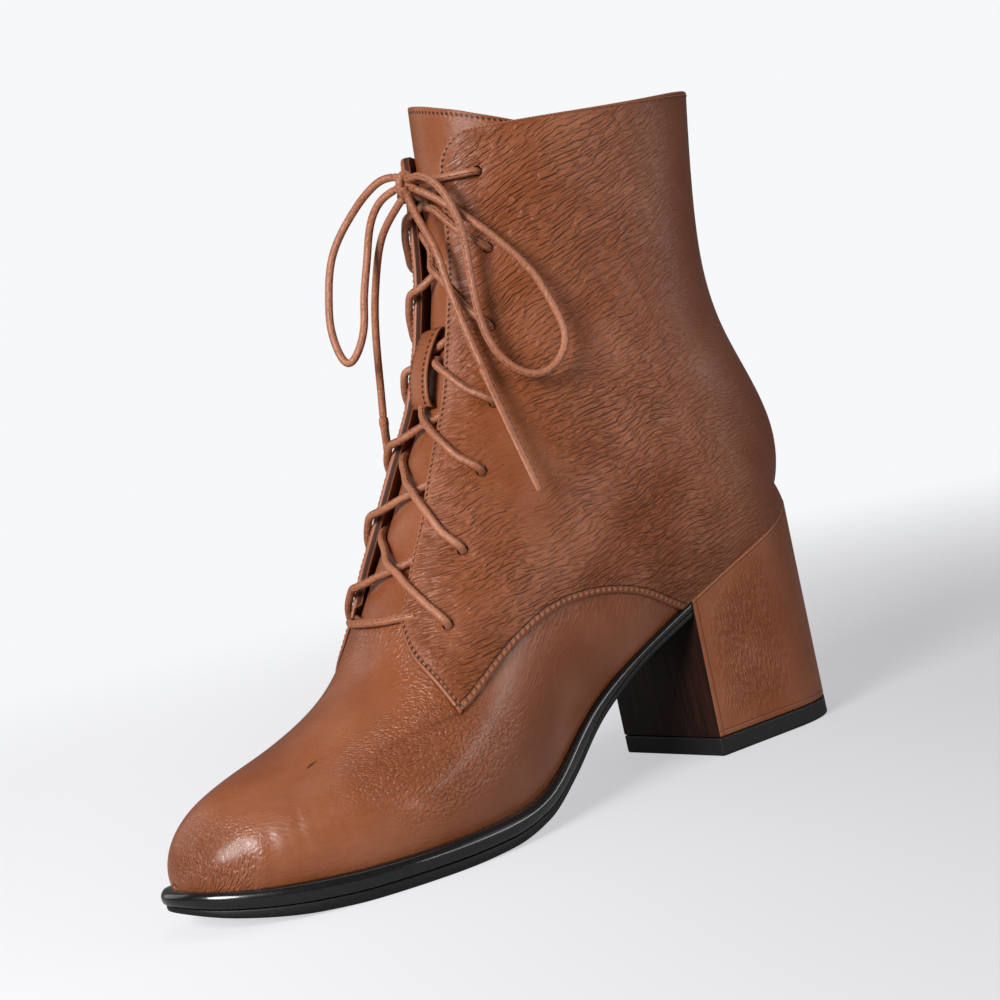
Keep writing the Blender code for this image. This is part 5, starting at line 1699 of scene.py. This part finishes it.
def make_quarter_leather():
    """Satin leather with fine slanting wrinkles, puckered along its sewn edges, with painted shade towards
    the back, the sole and the edges, and a painted highlight on its rolled edges and seam band.
    """
    made, tree, shader = start_material("quarter_leather", 0.43, 0.06, 0.3, 0.31)
    place, hide = position(tree), read_map(tree, "hide")
    around, level = apart(tree, hide)
    from_edge, arc = apart(tree, read_map(tree, "edge"))
    from_seam, seam_arc = apart(tree, read_map(tree, "seam"))
    steep = wrinkled(tree, hide, 0.36, 0.00108, 0.0062, Waviness=0.5)
    flatter = wrinkled(tree, hide, 0.17, 0.00098, 0.0054, Waviness=0.5)
    high = ramp(tree, level, 0.125, 0.160)
    share = mix_value(tree, high, flatter, steep)
    back_fade = ramp(tree, around, 0.040, 0.082)
    calm = spot(tree, place, (27, 3, 108), (40, 13, 24), 0.6)
    strength = times(tree, back_fade, maths(tree, "MULTIPLY_ADD", calm, -0.75, 1.0),
        ramp(tree, noise(tree, place, 55.0), 0.30, 0.62, 0.55, 1.15), ramp(tree, from_edge, 0.0024, 0.0060))
    streak = wrinkled(tree, hide, 0.05, 0.0008, 0.004)
    streaks = maths(tree, "SUBTRACT", 1.0, back_fade)
    pores = times(tree, use_group(tree, PORES, Map=hide, Share=0.16).outputs[0],
        ramp(tree, noise(tree, place, 45.0), 0.45, 0.62))
    scuffs = wrinkled(tree, hide, -0.9, 0.0012, 0.010, Drift=0.02)
    scuffed = times(tree, spot(tree, place, (32, 68, 84), (20, 16, 12), 0.5), ramp(tree, scuffs, 0.80, 0.92))
    marks = use_group(tree, STITCH_MARKS, Map=read_map(tree, "edge"), Line=STITCH_LINE, Pitch=STITCH_PITCH)
    crinkle = puckers(tree, arc, 1150.0, from_edge, 330.0)
    near_edge = times(tree, ramp(tree, from_edge, 0.0010, 0.0018), ramp(tree, from_edge, 0.0022, 0.0065,
        1.0, 0.0))
    # Painted highlight on the rolled edge
    rim = ramp(tree, from_edge, 0.0004, 0.0013, 1.0, 0.0)
    groove = band(tree, from_edge, 0.0014, 0.0004)
    seam_band = ramp(tree, from_seam, SEAM_LINE - 0.0003, SEAM_LINE, 1.0, 0.0)
    seam_groove = band(tree, from_seam, SEAM_LINE, 0.00035)
    step = maths(tree, "PINGPONG", seam_arc, SEAM_PITCH / 2)
    rung = times(tree, ramp(tree, step, 0.0, 0.00045, 1.0, 0.0), ramp(tree, from_seam, 0.0004, 0.0008),
        seam_band)
    seam_pull = ramp(tree, from_seam, SEAM_LINE, SEAM_LINE + 0.004, 1.0, 0.0)
    seam_crinkle = puckers(tree, seam_arc, 900.0, from_seam, 300.0)
    plain = maths(tree, "SUBTRACT", 1.0, seam_band)
    grain = times(tree, share, strength, plain)
    # Painted shade: darker towards the back seam, towards the sole and just inside the sewn edges
    painted_shade_back = ramp(tree, around, 0.008, 0.080, 0.62, 0.0)
    painted_shade_low = ramp(tree, level, 0.045, 0.085, 0.22, 0.0)
    dark = maths(tree, "ADD", maths(tree, "ADD", painted_shade_back, painted_shade_low), times(tree, near_edge, 0.15),
        clamp=True)
    deep = greatest(tree, marks.outputs["Dark"], times(tree, seam_groove, 0.8), times(tree, groove, 0.35),
        times(tree, pores, 0.75), times(tree, rung, 0.5))
    # Painted highlight on the rolled edges and on the raised seam band
    painted_highlight = greatest(tree, times(tree, rim, 0.40), times(tree, seam_band, 0.35))
    shown = only_where(tree, share, strength)
    tone = use_group(tree, TANNED, Place=place, Dark=dark, Grain=shown, Pale=painted_highlight, Deep=deep)
    put_on(tree, shader, tone.outputs[0], [(grain, 0.85), (times(tree, streak, streaks), 0.08),
        (fine_grain(tree, hide), 0.018), (marks.outputs["Pull"], -0.16), (marks.outputs["Dark"], -0.25),
        (times(tree, crinkle, near_edge), 0.30), (groove, -0.10), (seam_groove, -0.22), (rung, -0.16),
        (times(tree, seam_crinkle, seam_pull), 0.12), (pores, -0.10), (scuffed, -0.06)], place, 0.43)
    return made


# %% Vamp leather
def make_vamp_leather():
    """Smooth satin leather with a pebbled toe and a pebbled patch under the quarter's point, and a painted
    highlight on its throat edge.
    """
    made, tree, shader = start_material("vamp_leather", 0.34, 0.24, 0.20, 0.34)
    place, hide = position(tree), read_map(tree, "hide")
    across, _ = apart(tree, hide)
    from_edge, _ = apart(tree, read_map(tree, "edge"))
    toe = spot(tree, place, (9, -118, 21), (16, 11, 10), 0.85)
    patch_mask = greatest(tree, spot(tree, place, (38, -52, 32), (40, 26, 15), 0.5),
        spot(tree, place, (-38, -52, 32), (40, 26, 15), 0.5))
    low = ramp(tree, across, 0.055, 0.075, 1.0, 0.25)
    pebble = use_group(tree, PEBBLES, Map=hide, Size=0.0017, Warp=1.0).outputs[0]
    swirl = wrinkled(tree, hide, 0.9, 0.0008, 0.0016, Waviness=1.8, Drift=0.02)
    toe_grain = mix_value(tree, 0.45, pebble, swirl)
    wrinkles = wrinkled(tree, hide, -0.6, 0.0008, 0.0022, Drift=0.010)
    patch_grain = mix_value(tree, 0.5, pebble, wrinkles)
    satin = maths(tree, "SUBTRACT", 1.0, greatest(tree, toe, patch_mask))
    throat = ramp(tree, from_edge, 0.004, 0.020, 1.0, 0.0)
    pores = times(tree, use_group(tree, PORES, Map=hide, Share=0.22, Spacing=0.0018).outputs[0], toe)
    # Painted highlight on the rolled throat edge
    rim = ramp(tree, from_edge, 0.0004, 0.0012, 1.0, 0.0)
    marks = use_group(tree, STITCH_MARKS, Map=read_map(tree, "edge"), Line=STITCH_LINE, Pitch=STITCH_PITCH)
    dark = maths(tree, "ADD", times(tree, toe, 0.10), ramp(tree, noise(tree, place, 26.0), 0.45, 0.7, 0.0,
        0.25), clamp=True)
    nick = spot(tree, place, (17.4, -83.1, 38.7), (0.5, 2.4, 0.9), 0.3)
    deep = greatest(tree, times(tree, pores, 0.8), marks.outputs["Dark"], times(tree, nick, 0.7))
    shown = only_where(tree, toe_grain, toe)
    shown = times(tree, shown, only_where(tree, patch_grain, times(tree, patch_mask, 0.7)))
    tone = use_group(tree, TANNED, Place=place, Dark=dark, Grain=shown, Pale=times(tree, rim, 0.4), Deep=deep)
    put_on(tree, shader, tone.outputs[0], [(times(tree, toe_grain, toe), 0.55),
        (times(tree, patch_grain, patch_mask, low), 0.40), (times(tree, wrinkles, satin), 0.040),
        (times(tree, wrinkles, throat), 0.25), (fine_grain(tree, hide), 0.016),
        (marks.outputs["Pull"], -0.12), (pores, -0.12)], place, 0.35)
    return made


# %% Tongue, keeper and lining leather
def make_tongue_leather(name, row_line, pitch):
    """Smooth satin leather with a sewn edge and a painted highlight along it."""
    made, tree, shader = start_material(name, 0.42, 0.03, 0.3, 0.28)
    place, hide = position(tree), read_map(tree, "hide")
    from_edge, _ = apart(tree, read_map(tree, "edge"))
    grain = wrinkled(tree, hide, 0.2, 0.0010, 0.0026)
    marks = use_group(tree, STITCH_MARKS, Map=read_map(tree, "edge"), Line=row_line, Pitch=pitch)
    # Painted highlight on the rolled edge
    rim = ramp(tree, from_edge, 0.0003, 0.0010, 1.0, 0.0)
    tone = use_group(tree, TANNED, Place=place, Dark=0.10, Grain=grain, Pale=times(tree, rim, 0.3),
        Deep=marks.outputs["Dark"])
    put_on(tree, shader, tone.outputs[0], [(grain, 0.06), (fine_grain(tree, hide), 0.015),
        (marks.outputs["Pull"], -0.15), (marks.outputs["Dark"], -0.2)], place, 0.42)
    return made


def make_lining_leather():
    """Dull lining leather with fine pores."""
    made, tree, shader = start_material("lining_leather", 0.72, specular=0.3)
    place, hide = position(tree), read_map(tree, "hide")
    pores = use_group(tree, PORES, Map=hide, Spacing=0.0012, Share=0.7).outputs[0]
    tone = use_group(tree, TANNED, Place=place, Base=(0.24, 0.09, 0.045), Dark=0.15,
        Grain=maths(tree, "MULTIPLY_ADD", pores, -0.6, 1.0), Pale=0.0)
    put_on(tree, shader, tone.outputs[0], [(pores, -0.05), (noise(tree, place, 1500.0, 3.0), 0.05)], place,
        0.72, 0.08)
    return made


# %% Heel leathers
def make_heel_leather():
    """Cover leather with upright grain on its side, turned over at its top edge and sewn near its front, with
    a painted highlight on its turned edges and painted shade towards its back.
    """
    made, tree, shader = start_material("heel_leather", 0.42, 0.03, 0.3, 0.28)
    place, hide = position(tree), read_map(tree, "hide")
    from_front, from_low = apart(tree, read_map(tree, "edge"))
    drop, _ = apart(tree, read_map(tree, "seat"))
    grain = wrinkled(tree, hide, 1.40, 0.0007, 0.0030, Drift=0.004, Waviness=0.5)
    patch_mask = times(tree, ramp(tree, from_front, 0.002, 0.013), ramp(tree, from_front, 0.016, 0.042,
        1.0, 0.08), ramp(tree, from_low, 0.001, 0.013), ramp(tree, drop, 0.001, 0.014))
    front_line = band(tree, from_front, 0.0026, 0.0004)
    low_line = band(tree, from_low, 0.0020, 0.0004)
    top_line = band(tree, drop, 0.0016, 0.0005)
    # Painted highlight on the turned top edge and the front edges
    rim = greatest(tree, ramp(tree, drop, 0.0006, 0.0014, 1.0, 0.0),
        ramp(tree, from_front, 0.0004, 0.0012, 1.0, 0.0))
    deep = times(tree, greatest(tree, front_line, low_line, top_line), 0.45)
    shown = only_where(tree, grain, patch_mask)
    # Painted shade: darker towards the back of the heel
    dark = ramp(tree, from_front, 0.012, 0.050, 0.0, 0.30)
    tone = use_group(tree, TANNED, Place=place, Dark=dark, Grain=shown, Pale=times(tree, rim, 0.45),
        Deep=deep)
    put_on(tree, shader, tone.outputs[0], [(times(tree, grain, patch_mask), 0.55),
        (fine_grain(tree, hide), 0.016), (front_line, -0.12), (low_line, -0.10), (top_line, -0.12)], place,
        0.42)
    return made


def make_breast_leather():
    """Very dark leather of the heel's front."""
    made, tree, shader = start_material("breast_leather", 0.5, specular=0.15)
    place = position(tree)
    streak = noise(tree, vector_maths(tree, "MULTIPLY", place, (900.0, 60.0, 60.0)), 1.0, 3.0)
    colour = mix_colour(tree, ramp(tree, streak, 0.35, 0.7), (0.010, 0.004, 0.003), (0.030, 0.009, 0.005))
    put_on(tree, shader, colour, [(streak, 0.05), (noise(tree, place, 1300.0, 2.0), 0.03)], place, 0.5)
    return made


# %% Lace leather
def make_lace_leather():
    """Round leather lace with its own closing seam along it and creases across it."""
    made, tree, shader = start_material("lace_leather", 0.45, 0.04, 0.3, 0.35)
    place = position(tree)
    along, turn = apart(tree, read_map(tree, "hide"))
    dash = ramp(tree, maths(tree, "PINGPONG", along, 0.0011), 0.00045, 0.00075, 1.0, 0.0)
    seam = times(tree, band(tree, turn, 0.30, 0.035), maths(tree, "MULTIPLY_ADD", dash, 0.6, 0.4))
    second = times(tree, band(tree, turn, 0.80, 0.03), maths(tree, "MULTIPLY_ADD", dash, 0.5, 0.3))
    seam = greatest(tree, seam, second)
    around = maths(tree, "SINE", times(tree, turn, 2 * math.pi))
    other = maths(tree, "COSINE", times(tree, turn, 2 * math.pi))
    tube = together(tree, times(tree, around, 0.55), times(tree, other, 0.55), times(tree, along, 620.0))
    crease = ramp(tree, noise(tree, tube, 1.0, 2.0), 0.30, 0.62)
    fibre = noise(tree, together(tree, times(tree, around, 3.0), times(tree, other, 3.0),
        times(tree, along, 160.0)), 1.0, 2.0)
    tone = use_group(tree, TANNED, Place=place, Base=(0.33, 0.120, 0.060), Light=(0.47, 0.20, 0.115),
        Dark=0.04, Grain=crease, Deep=times(tree, seam, 0.75))
    put_on(tree, shader, tone.outputs[0], [(crease, 0.20), (fibre, 0.12), (seam, -0.20)], place, 0.45)
    return made


# %% Black finishes
def make_black(name, colour, roughness, coat, grain, size, height):
    """Black edge dressing or rubber with a fine grain."""
    made, tree, shader = start_material(name, roughness, coat, 0.10, 0.3)
    place = position(tree)
    rough = noise(tree, place, size, 3.0)
    lighter = tuple(c * 2.4 for c in colour)
    shade = mix_colour(tree, ramp(tree, rough, 0.45, 0.75, 0.0, grain), colour, lighter)
    put_on(tree, shader, shade, [(rough, height), (noise(tree, place, 90.0, 1.0), height * 0.8)], place,
        roughness, 0.07, 500.0)
    return made


def make_thread():
    """Twisted thread, a little paler than the leather."""
    made, tree, shader = start_material("thread_brown", 0.6, specular=0.3)
    place = position(tree)
    fibre = noise(tree, place, 3200.0, 2.0)
    join(tree, mix_colour(tree, fibre, (0.20, 0.060, 0.024), (0.40, 0.150, 0.075)),
        shader.inputs["Base Color"])
    raise_surface(tree, shader, [(fibre, 0.05)])
    return made


def make_edge_dye_and_shade():
    """Dark dyed cut edge of the leather, dark enough to stand as painted shade along the edges and inside the
    lace holes.
    """
    made, tree, shader = start_material("edge_dye_and_shade", 0.5, specular=0.3)
    place = position(tree)
    fibre = noise(tree, place, 1800.0, 3.0)
    shade = mix_colour(tree, fibre, (0.030, 0.009, 0.004), (0.085, 0.025, 0.010))
    put_on(tree, shader, shade, [(fibre, 0.05)], place, 0.5)
    return made


thread_brown, edge_dye_and_shade = make_thread(), make_edge_dye_and_shade()
quarter_leather, vamp_leather = make_quarter_leather(), make_vamp_leather()
tongue_leather = make_tongue_leather("tongue_leather", 0.0020, 0.0019)
keeper_leather = make_tongue_leather("keeper_leather", 0.0013, 0.0017)
lining_leather, lace_leather = make_lining_leather(), make_lace_leather()
heel_leather, breast_leather = make_heel_leather(), make_breast_leather()
band_black = make_black("band_black", (0.004, 0.0035, 0.0035), 0.27, 0.8, 0.4, 700.0, 0.012)
sole_black = make_black("sole_black", (0.005, 0.0046, 0.0046), 0.50, 0.0, 0.8, 1500.0, 0.030)
lift_black = make_black("lift_black", (0.006, 0.0055, 0.0055), 0.58, 0.0, 0.8, 1900.0, 0.040)
print("finishes:", len(bpy.data.materials))

# %% [markdown]
# ## Stitches
#
# A stitch is a short padded thread between two needle holes. Hundreds of them follow each edge, so
# one small thread is placed by Geometry Nodes on points that already know the way along the row and
# the way out of the leather. The nodes end in real mesh, and the modifier is then removed.

# %% Stitch nodes
def stitch_nodes():
    """Node group that puts a thread on each point of a row."""
    group = bpy.data.node_groups.new("stitch_row", "GeometryNodeTree")
    inputs = [("Geometry", "Geometry", None), ("Length", "Float", 0.0014), ("Width", "Float", 0.0006),
        ("Jitter", "Float", 0.12), ("Seed", "Int", 4), ("Thread", "Material", None)]
    for label, kind, default in inputs:
        socket = group.interface.new_socket(label, in_out="INPUT", socket_type="NodeSocket" + kind)
        if default is not None:
            socket.default_value = default
    group.interface.new_socket("Geometry", in_out="OUTPUT", socket_type="NodeSocketGeometry")
    start, end = group.nodes.new("NodeGroupInput"), group.nodes.new("NodeGroupOutput")
    said = start.outputs
    ball = node(group, "GeometryNodeMeshUVSphere", Segments=8, Rings=6, Radius=0.5)
    smooth_ball = node(group, "GeometryNodeSetShadeSmooth")
    join(group, ball.outputs["Mesh"], smooth_ball.inputs["Geometry"])
    turned = None
    for axis, label in (("X", "ahead"), ("Z", "out")):
        align = node(group, "FunctionNodeAlignRotationToVector", axis=axis,
            pivot_axis="X" if axis == "Z" else "AUTO")
        read = node(group, "GeometryNodeInputNamedAttribute", data_type="FLOAT_VECTOR")
        read.inputs["Name"].default_value = label
        join(group, read.outputs["Attribute"], align.inputs["Vector"])
        if turned is not None:
            join(group, turned, align.inputs["Rotation"])
        turned = align.outputs["Rotation"]
    size = together(group, said["Length"], said["Width"], maths(group, "MULTIPLY", said["Width"], 0.75))
    chance = node(group, "FunctionNodeRandomValue", data_type="FLOAT")
    join(group, said["Seed"], chance.inputs["Seed"])
    wobble = maths(group, "MULTIPLY", maths(group, "SUBTRACT", chance.outputs["Value"], 0.5), said["Jitter"])
    size = vector_maths(group, "MULTIPLY", size, together(group, maths(group, "ADD", wobble, 1.0), 1.0, 1.0))
    placed = node(group, "GeometryNodeInstanceOnPoints")
    join(group, said["Geometry"], placed.inputs["Points"])
    join(group, smooth_ball.outputs[0], placed.inputs["Instance"])
    join(group, turned, placed.inputs["Rotation"])
    join(group, size, placed.inputs["Scale"])
    real = node(group, "GeometryNodeRealizeInstances")
    join(group, placed.outputs[0], real.inputs[0])
    dressed = node(group, "GeometryNodeSetMaterial")
    join(group, real.outputs[0], dressed.inputs["Geometry"])
    join(group, said["Thread"], dressed.inputs["Material"])
    join(group, dressed.outputs[0], end.inputs[0])
    return group


STITCH_NODES = stitch_nodes()


def stitches(name, places, length, width, seed, lift=0.0):
    """Row of stitches on places with their directions."""
    mesh = bpy.data.meshes.new(name)
    out = places[:, 6:9] / np.linalg.norm(places[:, 6:9], axis=1, keepdims=True)
    mesh.from_pydata((places[:, :3] + out * lift + SHIFT).tolist(), [], [])
    for label, values in (("ahead", places[:, 3:6]), ("out", out)):
        stored = mesh.attributes.new(label, "FLOAT_VECTOR", "POINT")
        stored.data.foreach_set("vector", np.asarray(values, np.float32).ravel())
    thing = bpy.data.objects.new(name, mesh)
    bpy.context.collection.objects.link(thing)
    rows = thing.modifiers.new("rows", "NODES")
    rows.node_group = STITCH_NODES
    sockets = {item.name: item.identifier for item in STITCH_NODES.interface.items_tree
        if item.in_out == "INPUT"}
    for label, value in (("Length", length), ("Width", width), ("Seed", seed), ("Thread", thread_brown)):
        rows[sockets[label]] = value
    made = bpy.data.meshes.new_from_object(thing.evaluated_get(bpy.context.evaluated_depsgraph_get()))
    thing.modifiers.clear()
    thing.data = made
    made.name = name
    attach(thing, "root")
    print(name, "stitches:", len(places), "faces:", len(made.polygons))
    return thing

# %% Dress the lacing
def dress(thing, nodes):
    """Let a piece ride on the boot and stand for its nodes."""
    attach(thing, "root")
    if nodes:
        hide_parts(*nodes)
    print(thing.name, "faces:", len(thing.data.polygons))
    return thing


bow_knot = knot([lace_leather])
outer_tip = lace_tip("tip_outer", END_LATERAL[-1], TIP_LATERAL_END, [lace_leather])
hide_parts("lace_tip_lateral")
inner_tip = lace_tip("tip_inner", END_MEDIAL[-1], TIP_MEDIAL_END, [lace_leather])
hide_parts("lace_tip_medial")
free_lace("loop_outer", LOOP_LATERAL, "bow_loop_lateral", [lace_leather])
free_lace("loop_inner", LOOP_MEDIAL, "bow_loop_medial", [lace_leather])
free_lace("end_outer", END_LATERAL, "lace_end_lateral", [lace_leather])
free_lace("end_inner", END_MEDIAL, "lace_end_medial", [lace_leather])

for number in range(1, len(HOLE_HEIGHTS)):
    for side, word in ((1, "outer"), (-1, "inner")):
        route = strand_route(number - 1, number, side)
        strand_piece, _, _ = lace_tube(f"lace_{word}_{number}", route, [lace_leather])
        dress(strand_piece, [f"lace_crossing_{number}"] if side > 0 else [])
bar_nodes = {"lace_bottom_bar": ["lace_bar_bottom"], "lace_top_outer": ["lace_bar_top"], "lace_top_inner": []}
for name, route in bar_routes().items():
    dress(lace_tube(name, route, [lace_leather])[0], bar_nodes[name])

# %% Dress the upper
for side, word in ((1, "outer"), (-1, "inner")):
    made, rows, seam_row = quarter(side, f"quarter_{word}", [quarter_leather, lining_leather, edge_dye_and_shade])
    dress(made, [])
    stitches(f"stitches_{word}", rows, 0.0014, 0.00055, 4 + side)
    stitches(f"seam_pads_{word}", seam_row, 0.0017, 0.0012, 8 + side, -0.0002)
dress(vamp([vamp_leather, lining_leather]), ["upper"])
dress(tongue([tongue_leather, lining_leather, edge_dye_and_shade]), ["tongue"])
dress(keeper([keeper_leather, keeper_leather, edge_dye_and_shade]), ["lace_keeper"])

# %% Dress the sole and heel
dress(midsole([band_black]), ["midsole"])
dress(outsole([sole_black]), ["outsole"])
dress(heel([heel_leather, breast_leather]), ["heel_block"])
dress(top_lift([lift_black]), ["top_lift"])
dress(insole([lining_leather]), ["insole"])

# %% [markdown]
# ## Floor and light
#
# A flat floor that glows with painted light, with painted shade to the right of the boot, fades into the
# backdrop's white and stands for the studio sweep. Soft lights give the broad highlights of the photograph:
# one from the front left, weaker ones from above, from the side and from behind, and a low strip that shines
# along the black band.

# %% Floor
STUDIO_WHITE = (0.93, 0.935, 0.95)
# Glow of the floor: painted light on the left, painted shade to the right of the boot
FLOOR_GLOW_LEFT, FLOOR_SHADE_RIGHT = (0.67, 0.67, 0.685), (0.385, 0.385, 0.40)
FLOOR_SIZE = 60.0


def studio_floor():
    """Floor that glows with painted light, brighter on the left and with painted shade to the right, fading
    into the backdrop's white with no edge in sight.
    """
    mesh = bpy.data.meshes.new("studio_floor")
    corners = [(x * FLOOR_SIZE, y * FLOOR_SIZE, 0) for x, y in ((-1, -1), (1, -1), (1, 1), (-1, 1))]
    mesh.from_pydata(corners, [], [(0, 1, 2, 3)])
    floor = bpy.data.objects.new("studio_floor", mesh)
    bpy.context.collection.objects.link(floor)
    made, tree, shader = start_material("floor_painted_glow", 0.9, specular=0.0)
    away = vector_maths(tree, "LENGTH", position(tree), 0.0)
    far = ramp(tree, away, 0.16, 0.95)
    beside = ramp(tree, vector_maths(tree, "DOT_PRODUCT", position(tree), tuple(map(float, right))), -0.22,
        0.26)
    join(tree, mix_colour(tree, far, (0.28, 0.28, 0.285), (0.0, 0.0, 0.0)), shader.inputs["Base Color"])
    # Painted light and shade: brighter on the left, darker to the right
    near = mix_colour(tree, beside, FLOOR_GLOW_LEFT, FLOOR_SHADE_RIGHT)
    glow = mix_colour(tree, far, near, STUDIO_WHITE)
    seen = node(tree, "ShaderNodeLightPath").outputs["Is Camera Ray"]
    join(tree, mix_colour(tree, seen, (0.10, 0.10, 0.105), glow), shader.inputs["Emission Color"])
    shader.inputs["Emission Strength"].default_value = 1.0
    mesh.materials.append(made)


studio_floor()

# %% Lights
def soft_light(name, place, target, size, power, height=None):
    """Area light that looks at a point: a disc, or a flat strip when it has a height."""
    data = bpy.data.lights.new(name, "AREA")
    data.shape = "RECTANGLE" if height else "DISK"
    data.size = size
    data.size_y = height or size
    data.energy = power
    lamp = bpy.data.objects.new(name, data)
    place, target = Vector(place), Vector(target)
    lamp.matrix_world = Matrix.Translation(place) @ (target - place).to_track_quat("-Z",
        "Y").to_matrix().to_4x4()
    bpy.context.collection.objects.link(lamp)


middle = Vector(VIEW_TARGET)
left_view, toward = Vector(-right), Vector(back)
soft_light("key_light", middle + left_view * 0.58 + toward * 0.85 + Vector((0, 0, 0.40)), middle, 0.50, 16)
soft_light("top_light", middle + Vector((0.0, 0.1, 1.3)), middle, 0.8, 1.6)
soft_light("side_light", middle - left_view * 1.0 + toward * 0.3 + Vector((0, 0, 0.3)), middle, 0.8, 0.7)
soft_light("strip_light", middle - left_view * 0.95 + toward * 0.35 + Vector((0, 0, 0.10)), middle, 1.3,
    3.2, 0.12)
soft_light("rim_light", middle + left_view * 1.0 - toward * 0.5 + Vector((0, 0, 0.5)), middle, 0.8, 1.5)

# %% Backdrop
world = bpy.data.worlds.new("studio")
world.use_nodes = True
tree = world.node_tree
seen = tree.nodes["Background"]
seen.inputs["Color"].default_value = (*STUDIO_WHITE, 1.0)
lighting = node(tree, "ShaderNodeBackground", Strength=0.13)
lighting.inputs["Color"].default_value = (0.96, 0.97, 1.0, 1.0)
chosen = node(tree, "ShaderNodeMixShader")
join(tree, node(tree, "ShaderNodeLightPath").outputs["Is Camera Ray"], chosen.inputs[0])
join(tree, lighting.outputs[0], chosen.inputs[1])
join(tree, seen.outputs[0], chosen.inputs[2])
join(tree, chosen.outputs[0], tree.nodes["World Output"].inputs["Surface"])
bpy.context.scene.world = world
bpy.context.scene.view_settings.view_transform = "Standard"
